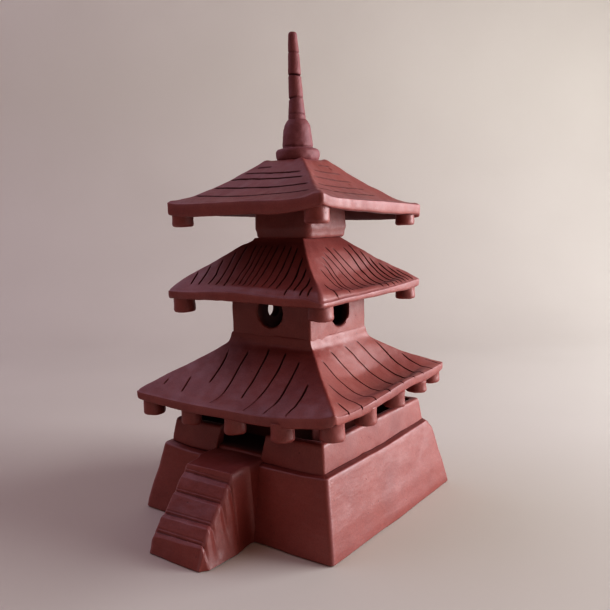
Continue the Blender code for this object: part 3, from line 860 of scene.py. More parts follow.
MIDDLE_ROOF = {
    "hips": (
        (
            (19.6, 172.3), (21, 170.4), (26, 167.5), (32.9, 162.1), (39.7, 157), (44.2, 154),
            (48.7, 150.7), (53.2, 147.1), (56.8, 143.5), (59.2, 140.9),
        ),
        (
            (19.6, 172.3), (21, 170.2), (26, 165.4), (31, 161), (37.5, 156.2), (45.5, 150.9),
            (51.7, 147.3), (55.6, 144.2), (59.2, 138.9),
        ),
        (
            (19.6, 172.3), (22.4, 169.8), (27.1, 165.8), (31.9, 162.3), (36.7, 158.1), (41.6, 154.9),
            (46.5, 151.4), (51.4, 148.2), (54.9, 145.7), (57.9, 143.6), (59.2, 142.8),
        ),
        (
            (19.6, 172.3), (21, 170.7), (24, 168.4), (30, 163.8), (37, 158.3), (45, 152.7), (52, 147.6),
            (59.2, 141.7),
        ),
    ),
    "dish": (
        ((19.6, 0), (24, 0.2), (30, 0.6), (37, 1.2), (45, 1.6), (52, 0.8), (59.2, -1.5)),
        (
            (19.6, 0), (27, 0.6), (31.6, 2.8), (35.3, 5.2), (38.9, 7.5), (43.5, 8.6), (47.5, 7.8),
            (52, 5.8), (56, 3.2), (59.2, 1),
        ),
    ),
    "rim_sag": (
        (
            (-59, 0), (-48, 0.1), (-39, -0.3), (-26, -1.3), (-14, -2), (-2, -2.2), (9, -1.9),
            (20, -1.4), (31, -1.2), (39, -1.6), (44, -1.8), (48, -1.7), (52, -1.1), (56, -0.3), (59, 0),
        ),
        (
            (-59, 0), (-50, 0.3), (-37, 0.2), (-26, 0.5), (-15, 0.7), (-3, 0.8), (10, 0.9), (23, 0.8),
            (36, 0.65), (46, 0.4), (59, 0),
        ),
    ),
    "rim_depth": (
        ((-58, 4.6), (-26, 5.3), (-2, 5.9), (20, 4.9), (42, 4.9), (50, 4.4), (58, 3)),
        ((-58, 2.9), (-37, 3.1), (0, 3.6), (23, 4.3), (46, 5.4), (58, 5.2)),
    ),
    "turn": ((19.6, -1.4), (30, -1.2), (45, -0.3), (59.2, 0.2)),
    "shift_x": ((19.6, 0.1), (59.2, -0.3)),
    "shift_y": ((19.6, 0.1), (59.2, -0.2)),
    "rim": 59.2,
    "slab": 6.4,
    "first_rows": (19.6, 19.75, 20, 20.4, 21),
    "row_step": 0.62,
    "soffit_rows": (56, 52, 46, 40, 34, 31.5),
    "inner_rows": ((30.3, 156.5), (22, 163.4), (14.6, 166.6), (14.6, 172)),
    "rounding": (0.9, 2.4),
    "lines": (MIDDLE_FRONT_LINES, MIDDLE_RIGHT_LINES),
    "line_width": 0.48,
    "step": 1.6,
}


# Top roof

# Lines across the slopes: half width, depth, start, end, bow and tilt.
# The front's and the right's lines go in pairs, down from the top
TOP_FRONT_CUTS = (
    (20.3, 0.8, -16.3, -4, 0, 0),
    (26.2, 1.1, -23.2, 21.2, -0.2, 1.2),
    (31, 1.2, -30.2, 26, -0.6, 1.2),
    (38.1, 1.25, -37.4, 35, 0.1, 0.9),
    (46.5, 1.15, -44.8, 42, 0.7, 0.2),
)
TOP_RIGHT_CUTS = (
    (19.6, 0.5, -6, 9, 0, 0.3),
    (25.8, 0.5, -20, 12, -0.4, 0.3),
    (31.5, 0.55, -28, 14, 0.4, 0.5),
    (38.2, 0.9, -34, 20, 0, -0.5),
    (45.2, 0.95, -43.5, 24, -0.8, -0.6),
)
TOP_ROOF = {
    "hips": (
        (
            (13, 220.6), (13.7, 220.4), (16.5, 219.1), (21, 215.7), (25.5, 212.7), (30.1, 209),
            (34.6, 206), (39.1, 203.3), (43.5, 201.3), (47.9, 199.2), (52.3, 197.8), (55.8, 196.6),
            (58.6, 195.4),
        ),
        (
            (13, 220.6), (14.2, 220.3), (22.8, 214.9), (31.9, 208.5), (40.5, 203.1), (46.7, 200.3),
            (52.6, 198.2), (58.6, 197.3),
        ),
        (
            (13, 220.6), (15.4, 219.7), (20, 215.8), (24.7, 211.9), (29.4, 208.4), (34.1, 204.4),
            (38.8, 201.1), (43.6, 197.8), (48.4, 194.7), (53.2, 192.7), (58.6, 191),
        ),
        ((13, 220.6), (14.4, 220.1), (24, 213), (35, 204.8), (45, 198), (52, 194.4), (58.6, 192.3)),
    ),
    "dish": (
        ((13, 0), (24, 0.4), (35, 1), (45, 1.6), (52, 1.7), (58.6, 1.5)),
        ((13, 0), (24, 0.4), (35, 1), (45, 1.2), (52, 1), (58.6, 0.7)),
    ),
    "rim_sag": (
        (
            (-58, 0), (-46, 1), (-33, 1.3), (0, 1.4), (17, 1.8), (31, 2.2), (41, 1.8), (48, 1.1),
            (54, 0.2), (58, 0),
        ),
        (
            (-58, 0), (-49, 1.1), (-41, 1.4), (-31, 1.3), (-14, 0.8), (3, 0.45), (22, 0), (43, -0.3),
            (58, 0),
        ),
    ),
    "rim_depth": (
        ((-58, 7.6), (-37, 8), (-6, 7.95), (24, 7.7), (44, 7.3), (58, 6.6)),
        ((-58, 6.2), (-46, 5.9), (-20, 6.4), (0, 6.8), (16, 7.2), (29, 7.2), (50, 6.3), (58, 6)),
    ),
    "turn": ((13, 2.6), (22, 1.9), (32, 1.6), (40, 0.8), (47, 0.45), (58.6, 0.2)),
    "shift_x": ((13, 0.6), (58.6, 0.6)),
    "shift_y": ((13, 0.4), (58.6, 0.4)),
    "rim": 58.6,
    "slab": 8.3,
    "soffit_rows": (55.4, 51, 44, 36, 28, 20),
    "rounding": (0.8, 2.4),
}
TOP_LINE_WIDTH = 0.44
TOP_FIRST_ROW, TOP_ROW_STEP = 13.0, 0.9
BUNDLE_GAP = 0.3
TOP_FILL = 64
CROSS_LINE_END = 2.5
TOP_RIGHT_PITS = ((5.5, 21.8), (8.0, 34.2))
PIT_FLAT, PIT_SLOPE, PIT_DEPTH = 1.5, 0.8, 0.6


def top_marks():
    """Half widths down the slope, bundled where a line runs across, with each row's line and part of it."""
    end = TOP_ROOF["rim"] - LAST_ROW_GAP
    marks = [(reach, -1, 0) for reach in np.arange(TOP_FIRST_ROW, end, TOP_ROW_STEP)]
    room = CUT_OFFSETS[-1] * TOP_LINE_WIDTH + BUNDLE_GAP
    for number, (centre, *_) in enumerate(TOP_FRONT_CUTS):
        marks = [mark for mark in marks if abs(mark[0] - centre) > room]
        for part, offset in enumerate(CUT_OFFSETS):
            marks.append((centre + offset * TOP_LINE_WIDTH, number, part))
    return sorted(marks)


def top_side(side, marks, half, rounding):
    """Places, reaches, heights and darkness for one side of the top roof."""
    lines = (TOP_FRONT_CUTS, TOP_RIGHT_CUTS)[side % 2]
    count = len(marks)
    along = even_side(half, rounding, TOP_FILL)
    share = along / half[:, None]
    centres = [marks[0][0], *(usual[0] for usual in TOP_FRONT_CUTS), marks[-1][0]]
    reach = np.repeat(half[:, None], along.shape[1], axis=1)
    for column, across in enumerate(share[count - 1]):
        bends = [
            place - usual[0] + (bow + tilt * across) * (1 - across**6)
            for (place, _, _, _, bow, tilt), usual in zip(lines, TOP_FRONT_CUTS)
        ]
        reach[:count, column] += np.interp(half[:count], centres, [0.0, *bends, 0.0])
    cut, dark = np.zeros((2, *along.shape))
    for row, (_, number, part) in enumerate(marks):
        if number >= 0:
            _, depth, start, end, _, _ = lines[number]
            live = ease((along[row] - start) / CROSS_LINE_END) * ease((end - along[row]) / CROSS_LINE_END)
            cut[row] = live * depth * CUT_DEPTHS[part]
            dark[row] = live * depth * CUT_PAINTED_SHADES[part]
    # Pits on the right side, cut in, with painted shade in them
    for place, level in TOP_RIGHT_PITS if side % 2 else ():
        pit = np.clip(PIT_FLAT - np.hypot(along - place, reach - level) / PIT_SLOPE, 0, 1)
        cut = np.maximum(cut, PIT_DEPTH * pit)
        dark = np.maximum(dark, PIT_DEPTH * pit)
    edge = count + len(RIM_ROWS)
    z = np.vstack([
        roof_top(TOP_ROOF, side, reach[:count], share[:count]),
        rim_heights(TOP_ROOF, side, share[count:edge]),
        roof_under(TOP_ROOF, side, half[edge:, None], share[edge:]),
    ])
    # Painted shade on the underside
    dark[edge:] = UNDER_PAINTED_SHADE
    return along, reach, z - CUT_DEPTH_MM * cut, dark


def build_top_roof():
    """The lines run across the faces, so here rows are bundled where a line is."""
    marks = top_marks()
    rim = TOP_ROOF["rim"]
    slope = [mark[0] for mark in marks]
    half = np.array(slope + [rim - row[0] for row in RIM_ROWS] + list(TOP_ROOF["soffit_rows"]))
    rounding = np.interp(half, (half[0], rim), TOP_ROOF["rounding"])
    column = half[:, None]
    turn, shift = roof_turn_and_shift(TOP_ROOF, column)
    blocks, cuts = [], []
    for side in range(4):
        along, reach, z, dark = top_side(side, marks, half, rounding)
        scale = reach / column
        x, y = plan_places(side, column, along, rounding[:, None])
        x, y = turned(x * scale, y * scale, np.radians(turn))
        block = np.stack([x + shift[0], y + shift[1], z], axis=-1)
        blocks.append(block)
        # Painted shade in the lines, pits and underside, less a painted highlight on the eave's upper edge
        cuts.append(darkness(dark) - rim_highlight_rows(len(half), len(slope)) * patchy(block))
    grid, cut = np.concatenate(blocks, axis=1), np.concatenate(cuts, axis=1)
    strokes = ((0.34, 15.0), (0.18, 5.0), (0.08, 2.2))
    pinches = (
        ((13.3, -13.3, 220.4), 5.0, (0.3, -0.3, 0.7)),
        ((-13.3, -13.3, 220.4), 5.0, (-0.3, -0.3, 0.8)),
        ((13.6, 13.6, 220.4), 5.0, (0.3, 0.3, 0.8)),
        ((-13.3, 13.3, 220.4), 5.0, (-0.3, 0.3, 0.7)),
        ((54.5, -54.5, 198.0), 7.0, (0.2, -0.2, 1.5)),
        ((-56.0, -56.0, 196.4), 5.0, (-0.2, -0.2, 0.8)),
        ((56.5, 56.5, 191.6), 5.0, (0.2, 0.2, 0.8)),
    )
    sheet_piece("top_roof_clay", grid, cut, "roof_clay", ["top_roof"], strokes, 37, pinches)


# Studs

# Each stud's x and y, the height of its foot, and its radius
STUDS = {
    "lower_corner": (
        (-66.4, -67.8, 62.2, 6.9),
        (65.6, -61.6, 65.4, 7.3),
        (62.4, 66.2, 70.6, 6.2),
        (-65.0, 61.0, 64.0, 6.9),
    ),
    "lower_front": ((-35.2, -66.2, 59.9, 6.6), (0.0, -66.0, 59.8, 6.9), (35.4, -66.0, 61.1, 7.2)),
    "lower_right": ((66.3, -27.6, 65.6, 6.6), (65.8, 7.8, 67.8, 6.7), (65.3, 39.2, 70.2, 6.8)),
    "middle_corner": (
        (-52.0, -51.6, 126.9, 6.9),
        (51.2, -49.4, 127.8, 7.2),
        (51.4, 51.0, 129.4, 6.6),
        (-51.4, 51.4, 129.0, 6.8),
    ),
    "top_corner": (
        (-51.4, -50.6, 180.5, 6.9),
        (50.6, -50.2, 181.4, 7.2),
        (51.0, 51.8, 178.1, 6.4),
        (-51.0, 51.2, 179.4, 6.8),
    ),
}
CORNER_STUDS = (("lower_corner", LOWER_ROOF), ("middle_corner", MIDDLE_ROOF), ("top_corner", TOP_ROOF))
SIDE_FOOT_CHANGES = (0.0, 0.0, 1.2, -1.6)
HEAD_OVERLAP = 1.2
STUD_SOLE = ((0.45, 0.0), (0.74, 0.1), (0.9, 0.42), (0.965, 1.0), (0.99, 1.9))
STEM_STEPS = 12
STUD_COLUMNS = 48
STEM_WAIST = 0.03
STUD_STROKES = ((0.28, 7.0), (0.16, 3.0), (0.07, 1.4))


def eave_height(roof, x, y):
    """The underside's height over a plan place."""
    x, y = x - roof["shift_x"][-1][1], y - roof["shift_y"][-1][1]
    x, y = (float(value) for value in turned(x, y, -math.radians(roof["turn"][-1][1])))
    half = max(abs(x), abs(y))
    side = (0 if y < 0 else 2) if abs(y) >= abs(x) else (1 if x > 0 else 3)
    along, _ = turned(x, y, -side * math.pi / 2)
    share = np.array([[min(1.0, max(-1.0, float(along) / half))]])
    return float(roof_under(roof, side, np.array([[min(half, roof["rim"] - EAVE_BAND)]]), share)[0, 0])


def build_stud(node, stud, roof, seed):
    """A blunt peg, rounded under its foot, whose head follows the eave it is luted into."""
    x, y, foot, radius = stud
    angles = np.linspace(0, 2 * math.pi, STUD_COLUMNS + 1)[:-1]
    dent = 1 + 0.025 * np.sin(2 * angles + seed) + 0.015 * np.sin(3 * angles + 2 * seed)
    around = [(x + radius * math.cos(angle), y + radius * math.sin(angle)) for angle in angles]
    length = np.array([eave_height(roof, *place) for place in around]) + HEAD_OVERLAP - foot
    widest, shoulder = STUD_SOLE[-1]
    rows = list(STUD_SOLE)
    for step in range(1, STEM_STEPS + 1):
        share = widest - STEM_WAIST * math.sin(math.pi * step / STEM_STEPS)
        rows.append((share, shoulder + (length - shoulder) * step / STEM_STEPS))
    rings = []
    for share, height in rows:
        ring_x = x + share * radius * dent * np.cos(angles)
        ring_y = y + share * radius * dent * np.sin(angles)
        rings.append(np.stack([ring_x, ring_y, foot + height + np.zeros_like(angles)], axis=-1))
    sheet_piece(node + "_clay", np.array(rings), None, "stud_clay", [node], STUD_STROKES, seed)


def build_studs():
    for group, roof in CORNER_STUDS:
        for number, stud in enumerate(STUDS[group]):
            build_stud(f"{group}_stud_{number + 1}", stud, roof, 40 + len(group) * 7 + number)
    for side, name in enumerate(SIDES):
        for number, (x, y, foot, radius) in enumerate(STUDS[("lower_front", "lower_right")[side % 2]]):
            x, y = turned(x, y, (side - side % 2) * math.pi / 2)
            stud = (float(x), float(y), foot + SIDE_FOOT_CHANGES[side], radius)
            build_stud(f"lower_{name}_stud_{number + 1}", stud, LOWER_ROOF, 90 + 4 * side + number)


# Plinth and deck

PLINTH_PROFILE = (
    (0, 72.6), (0.5, 73.2), (2, 73), (4.7, 72.6), (9.4, 71.6), (15.7, 70.3), (22.5, 68.5),
    (31.2, 66.6), (38.8, 64.9), (41.2, 64.4), (42.6, 64),
)
# The groove beside the deck: half width, height and cut value. The cut value is painted shade in the
# groove, and below zero a painted highlight on its shoulder
PLINTH_LEDGE = (
    (63.9, 43, 0), (63.7, 43.45, -0.25), (63.4, 43.8, -0.3), (62.9, 44.08, -0.15), (62.2, 44.3, 0),
    (61.4, 44.5, 0.05), (60.7, 44.7, 0.15), (60.25, 44.8, 0.55), (59.9, 44.8, 0.8), (59, 44.6, 0.8),
)
# Painted shade on the ledge of the right and left sides
LEDGE_PAINTED_SHADE = 0.42
LEDGE_SPAN, LEDGE_HEIGHT = (60.2, 63.3), 43.6
# Painted shade inside the first storey, on its deck and the inner faces of its walls
INSIDE_PAINTED_SHADE = 0.75
PLINTH_LIFTS = (-2.0, -0.4, 2.1, 0.9)
PLINTH_SAGS = (
    ((-1, 0), (-0.62, 2), (-0.3, 2.1), (0.3, 0.9), (0.7, 0.9), (1, 0)),
    ((-1, 0), (-0.4, 0.6), (0, 1.1), (0.4, 0.9), (0.62, 0.6), (1, 0)),
)
PLINTH_TOP, RISE_END = 43.2, 44.0
PLINTH_ROUNDING, PLINTH_FILL = 2.6, 90
# Painted highlight down the plinth's corners
PLINTH_EDGE_HIGHLIGHT = 0.35
PLINTH_INSIDE = (
    (58.4, 43.0, 1.0), (58.0, 38.0, 0.5), (60.0, 30.0, 0.0), (66.4, 0.4, 0.0), (66.9, 0.0, 0.0),
)
PLINTH_WORN_CORNER = ((63.6, 63.6, 45.6), 7.5, (-0.9, -0.9, -1.8))
DECK_EDGE = (
    (57.0, 38.5, 1.0), (58.2, 41.0, 1.0), (58.4, 43.0, 1.0),
    (58.3, 44.6, 0.8), (58.0, 45.6, 0.5), (57.5, 46.1, 0.2),
)
DECK_TOP = 46.2
DECK_ROUNDING, DECK_FILL = 0.9, 44
DECK_DARK_FROM, DECK_DARK_WIDTH = 57.0, 4.0
DECK_ROWS = (56.8, 55.0, 50.0, 44.0, 38.0, 30.0, 20.0, 10.0, 3.0)


def build_plinth():
    heights = np.concatenate([[0.0, 0.25, 0.6, 1.0, 1.5], np.arange(2.6, PLINTH_TOP, 1.1)])
    halves = curve(PLINTH_PROFILE, heights)
    rows = [(half, height, ease(height / RISE_END)) for half, height in zip(halves, heights)]
    cut = [0.0] * len(rows) + [cut for _, _, cut in PLINTH_LEDGE] + [0.0] * len(PLINTH_INSIDE)
    rows += [(half, height, 1.0) for half, height, _ in PLINTH_LEDGE]
    rows += PLINTH_INSIDE
    grid = square_sheet(rows, PLINTH_ROUNDING, PLINTH_FILL, PLINTH_LIFTS, PLINTH_SAGS, turn=-0.4, bulge=0.4)
    # Painted shade in the groove and highlight on its shoulder, less a painted highlight down the corners
    cut = np.array(cut)[:, None] - corner_highlight(grid, PLINTH_ROUNDING, PLINTH_EDGE_HIGHLIGHT) * patchy(grid)
    # Painted shade on the ledge beside the deck, only on the right and left sides
    beside = np.repeat([0.0, LEDGE_PAINTED_SHADE, 0.0, LEDGE_PAINTED_SHADE], grid.shape[1] // 4)
    inner, outer = LEDGE_SPAN
    on_ledge = np.array([inner < half < outer and height > LEDGE_HEIGHT for half, height, _ in rows])
    cut = np.maximum(cut, np.where(on_ledge[:, None], beside, -1.0))
    strokes = ((0.40, 24.0), (0.16, 8.0), (0.05, 3.0))
    nodes = ["plinth_" + side + "_wall" for side in SIDES]
    nudges = (PLINTH_WORN_CORNER,)
    sheet_piece("plinth_walls_clay", grid, cut, "plinth_clay", nodes, strokes, 3, nudges, capped=False)


def build_deck():
    """The deck, with painted shade that grows towards the inside of the first storey."""
    rows = [*DECK_EDGE, *((half, DECK_TOP, 0.0) for half in DECK_ROWS)]
    grid = square_sheet(rows, DECK_ROUNDING, DECK_FILL, PLINTH_LIFTS, PLINTH_SAGS, turn=-0.6)
    # Painted shade, growing towards the inside
    dark = [INSIDE_PAINTED_SHADE * ease((DECK_DARK_FROM - half) / DECK_DARK_WIDTH) for half, _, _ in rows]
    cut = np.repeat(np.array(dark)[:, None], grid.shape[1], axis=1)
    strokes = ((0.1, 14.0), (0.06, 4.0))
    sheet_piece("plinth_deck_clay", grid, cut, "plinth_clay", ["plinth_deck"], strokes, 5)


# Stair

STAIR_LEFT, STAIR_RIGHT = -22.0, 13.5
STAIR_SPREAD = ((-116.5, 2.6), (-110, 4), (-99.5, 5.5), (-91, 6.1), (-79, 4.2), (-72, 3.4))
STAIR_LEFT_SPREAD = 2.0
SPREAD_HEIGHT = 12.0
STAIR_FOOT_STEP = 2.0
FOOT_STEP_FROM, FOOT_STEP_LENGTH = 98.0, 18.0
FLARE, FLARE_FROM, FLARE_LENGTH = 2.4, 72.5, 2.0
EDGE_SCALLOP = 0.8
# The left edge's y and z, the right edge's y and z, and 1 where a crease runs between two steps
STAIR_POINTS = (
    (-58, 44.6, -58, 44.8, 0),
    (-74, 44, -74, 44.4, 0),
    (-85.4, 43, -84.9, 43.4, 0),
    (-87, 40, -85.9, 38.9, 0),
    (-87.3, 39.3, -86, 37.9, 1),
    (-90.7, 36.7, -89.4, 36.8, 0),
    (-94.6, 30.6, -92.9, 30.2, 0),
    (-95.1, 29.7, -93.5, 29, 1),
    (-97.5, 28.8, -96.4, 28.3, 0),
    (-103.8, 20.8, -102.1, 20.9, 0),
    (-104.3, 19.8, -102.8, 19.9, 1),
    (-107.4, 18.6, -106.3, 19.5, 0),
    (-111.2, 12.9, -110.1, 13.2, 0),
    (-111.6, 11.9, -110.6, 12.2, 1),
    (-114, 9.2, -112.2, 10.6, 0),
    (-116, 1.6, -115.6, 2, 0),
    (-116.3, 0, -116.3, 0, 0),
)
TREAD_ROWS, TREAD_COLUMNS, CHEEK_COLUMNS = 260, 44, 14
STAIR_ROUNDING = 1.3
ROUNDED_COLUMNS = 2.0
CHEEK_OUT = 0.35
CHEEK_CURVE = 1.3
CREASE_DEPTH = 0.55
CREASE_FLAT, CREASE_WIDTH = 1.4, 0.45
SCRATCH_SHARE, SCRATCH_FLAT, SCRATCH_WIDTH, SCRATCH_ABOVE = 0.55, 1.3, 0.4, 1.7
PINCH_REACH = 3.4
# Painted highlight along the stair's side edges
NOSING_HIGHLIGHT = 0.3


def stair_samples(count):
    """Even steps down both edges of the stair: the four places and heights, then crease and pinch."""
    points = np.array(STAIR_POINTS)
    middle = (points[:, :2] + points[:, 2:4]) / 2
    length = np.concatenate([[0.0], np.cumsum(np.hypot(*np.diff(middle, axis=0).T))])
    at = np.linspace(0, length[-1], count)
    edges = np.stack([np.interp(at, length, points[:, column]) for column in range(4)], axis=1)
    for _ in range(2):
        edges[1:-1] = (edges[:-2] + 2 * edges[1:-1] + edges[2:]) / 4
    crease, pinch = np.zeros((2, count))
    for place in length[points[:, 4] == 1]:
        away = np.abs(at - place)
        crease = np.maximum(crease, np.clip(CREASE_FLAT - away / CREASE_WIDTH, 0, 1))
        scratch = np.clip(SCRATCH_FLAT - np.abs(at - place + SCRATCH_ABOVE) / SCRATCH_WIDTH, 0, 1)
        crease = np.maximum(crease, SCRATCH_SHARE * scratch)
        pinch = np.maximum(pinch, ease(1 - away / PINCH_REACH))
    return np.column_stack([edges, crease, pinch])


def cheek_top(height):
    """How high a cheek goes before its rounded edge."""
    return max(height - STAIR_ROUNDING * min(1.0, height / 4), 0.0)


def tread_point(share, left, right, start, width, crease, pinch):
    """A point across a tread, whose ends are rounded."""
    edge = min(share, 1 - share) * TREAD_COLUMNS
    inward = 1 - min(edge, ROUNDED_COLUMNS) / ROUNDED_COLUMNS
    round_off = STAIR_ROUNDING * (1 - math.sqrt(max(0.0, 1 - inward**2)))
    x = start + width * share - EDGE_SCALLOP * pinch * share**6
    y = left[0] + (right[0] - left[0]) * share
    z = left[1] + (right[1] - left[1]) * share
    z -= round_off * min(1.0, z / 4)
    return (x, y, max(z - CREASE_DEPTH * crease, 0.0))


def stair_row(left_y, left_z, right_y, right_z, crease, pinch):
    """One row up the left cheek, across the tread and down the right cheek, with its cut values."""
    flare = FLARE * math.exp(-max(0.0, -left_y - FLARE_FROM) / FLARE_LENGTH)
    right_edge = STAIR_RIGHT + STAIR_FOOT_STEP * ease((-left_y - FOOT_STEP_FROM) / FOOT_STEP_LENGTH)
    right_spread = float(curve(STAIR_SPREAD, right_y)) * min(1.0, right_z / SPREAD_HEIGHT)
    left_spread = STAIR_LEFT_SPREAD * min(1.0, left_z / SPREAD_HEIGHT)
    row = []
    for step in range(CHEEK_COLUMNS):
        share = step / CHEEK_COLUMNS
        spread = (1 - share) ** CHEEK_CURVE * left_spread + flare
        row.append((STAIR_LEFT - CHEEK_OUT - spread, left_y, cheek_top(left_z) * share))
    cut = [0.0] * CHEEK_COLUMNS
    start, width = STAIR_LEFT - flare, right_edge - STAIR_LEFT + 2 * flare
    left, right = (left_y, left_z), (right_y, right_z)
    for step in range(TREAD_COLUMNS + 1):
        share = step / TREAD_COLUMNS
        row.append(tread_point(share, left, right, start, width, crease, pinch))
        # Painted shade in each crease, uneven along it, and a painted highlight along the side edges
        wobble = 0.5 + 0.5 * float(cell_value(np.array([round(left_y), step // 5, 2.0]), 3))
        crease_shade = CREASE_DEPTH * crease * (0.6 + 0.4 * wobble)
        cut.append(crease_shade if 0.03 < share < 0.97 else -NOSING_HIGHLIGHT)
    for step in range(CHEEK_COLUMNS - 1, -1, -1):
        share = step / CHEEK_COLUMNS
        spread = (1 - share) ** CHEEK_CURVE * right_spread + flare * share
        scallop = EDGE_SCALLOP * pinch * share**2
        x = right_edge + CHEEK_OUT + flare * (1 - share) + spread - scallop
        row.append((x, right_y, cheek_top(right_z) * share))
    return row, cut + [0.0] * CHEEK_COLUMNS


def build_stair():
    """One sheet over the steps and both cheeks. It is open below, and behind the plinth's face."""
    rows, cuts = zip(*(stair_row(*sample) for sample in stair_samples(TREAD_ROWS)))
    clay = Clay()
    clay.sheet(np.array(rows), np.array(cuts))
    clay.cap(np.array(rows[-1]))
    nodes = [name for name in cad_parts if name.startswith("stair_step_")]
    strokes = ((0.45, 14.0), (0.16, 5.0), (0.06, 2.0))
    finish_piece("stair_clay", clay, "stair_clay", nodes, strokes, 7)


# First storey

BOX_SECTION = (
    [
        (53.9, 40.6), (53.6, 45.6), (53.4, 50.0), (52.8, 58.8), (53.0, 59.9), (53.7, 60.4),
        (54.6, 60.5), (56.4, 60.5), (57.3, 60.2), (57.9, 59.5), (58.15, 58.5),
    ]
    + [(58.15 + 1.5 * step / 8, 58.5 - 11.0 * step / 8) for step in range(1, 8)]
    + [(59.8, 46.6), (59.95, 45.2), (60.05, 43.8), (60.1, 42.4), (59.8, 40.6)]
)
BOX_LIFTS = (-2.6, -0.2, 0.7, 0.2)
DOOR_LEFT, DOOR_RIGHT = -18.6, 16.7
BOX_ROUNDING, BOX_TURN = 1.8, -0.7
BOX_TOP, BOX_HALF = 60.0, 58.0
BOX_FOOT, BOX_RISE = 46.0, 12.0
RIGHT_JAMB_LEAN, LEFT_JAMB_LEAN = -0.15, -0.11
BOX_MIDDLE = (56.2, 53.0)
# How each door jamb closes in: the gap from its edge, and how far the section shrinks to its middle
JAMB_ENDS = ((0.0, 0.42), (0.12, 0.2), (0.45, 0.07), (0.9, 0.015), (1.4, 0.0))
JAMB_DEPTH = JAMB_ENDS[-1][0]


def build_first_storey():
    """The walls as one sheet, whose columns go round from the door's right jamb to its left jamb."""
    half, height = np.array(BOX_SECTION).T
    straight = half - BOX_ROUNDING
    right_jamb = DOOR_RIGHT + RIGHT_JAMB_LEAN * (BOX_TOP - height)
    left_jamb = DOOR_LEFT + LEFT_JAMB_LEAN * (BOX_TOP - height)
    columns = []

    def add(side, along, squeeze=0.0):
        reach = half + (BOX_MIDDLE[0] - half) * squeeze
        z = height + (BOX_MIDDLE[1] - height) * squeeze
        x, y = plan_places(side, reach, along, BOX_ROUNDING, BOX_TURN)
        lifted = at_corners(BOX_LIFTS, x / BOX_HALF, y / BOX_HALF)
        z = z + lifted * np.clip((z - BOX_FOOT) / BOX_RISE, 0, 1)
        columns.append(np.stack([x, y, z], axis=-1))

    def add_corner(side, start):
        for step in range(1, CORNER_STEPS + 1):
            add(side, start + BOX_ROUNDING * step / CORNER_STEPS)

    for gap, squeeze in JAMB_ENDS:
        add(0, right_jamb + gap, squeeze)
    for step in range(1, 17):
        start = right_jamb + JAMB_DEPTH
        add(0, start + (straight - start) * step / 16)
    add_corner(0, straight)
    for side in (1, 2, 3):
        add_corner(side, -half)
        for step in range(1, 37):
            add(side, straight * (2 * step / 36 - 1))
        add_corner(side, straight)
    add_corner(0, -half)
    for step in range(1, 16):
        end = left_jamb - JAMB_DEPTH
        add(0, (end + half - BOX_ROUNDING) * step / 15 - straight)
    for gap, squeeze in reversed(JAMB_ENDS):
        add(0, left_jamb - gap, squeeze)
    grid = np.stack(columns, axis=0)
    # Painted shade on the walls' inner rows
    inside = np.where(np.arange(len(half)) < 4, INSIDE_PAINTED_SHADE, 0.0)
    cut = np.broadcast_to(inside, grid.shape[:2])
    nodes = ["storey1_front_wall_left", "storey1_front_wall_right"]
    nodes += ["storey1_" + side + "_wall" for side in SIDES[1:]]
    strokes = ((0.30, 16.0), (0.12, 5.0), (0.05, 2.0))
    sheet_piece("storey1_walls_clay", grid, cut, "wall_clay", nodes, strokes, 9)


# Second storey

SHAFT_OUTER, SHAFT_INNER = 31.1, 25.5
SHAFT_FOOT, SHAFT_OUTER_TOP, SHAFT_INNER_TOP = 46.4, 155.0, 158.0
SHAFT_ROUNDING = 1.4
SHAFT_TURN, SHAFT_SHIFT = -1.0, (0.5, 0.3)
# The lower roof is kneaded with these too, so that its cove meets the shaft
SHAFT_STROKES = ((0.30, 17.0), (0.16, 6.0), (0.07, 2.3))
SHAFT_SEED = 11
# Painted shade on the shaft's inner faces and the inner part of its window jambs
INNER_PAINTED_SHADE = 0.8
# Each side's window: its place along the wall, its height and its radius
WINDOWS = ((0.3, 127.5, 9.9), (1.3, 126.5, 9.9), (0.3, 127.0, 9.9), (-4.7, 123.7, 5.2))
WINDOW_BLOCK, WINDOW_SPAN = 7.2, 14.4
WINDOW_ARRIS = 0.9
INNER_SHADE_DEPTH = 0.25
NEAR = 1e-6
# Rows through a window: share of the wall's thickness, and share of the ring's size
JAMB_STEPS = (
    (0.0, 1.0), (0.03, 0.955), (0.09, 0.93), (0.18, 0.917), (0.5, 0.915), (0.82, 0.917), (0.91, 0.93),
    (0.97, 0.955), (1.0, 1.0),
)


def window_lines(low, high, centre, inside, outside):
    """Grid lines that are even inside the window's field, with lines on the block's edges."""
    field = [centre + WINDOW_SPAN * step / inside for step in range(-inside, inside + 1)]
    before = np.linspace(low, centre - WINDOW_SPAN, outside + 1)[:-1]
    after = np.linspace(centre + WINDOW_SPAN, high, outside + 1)[1:]
    return np.concatenate([before, field, after])


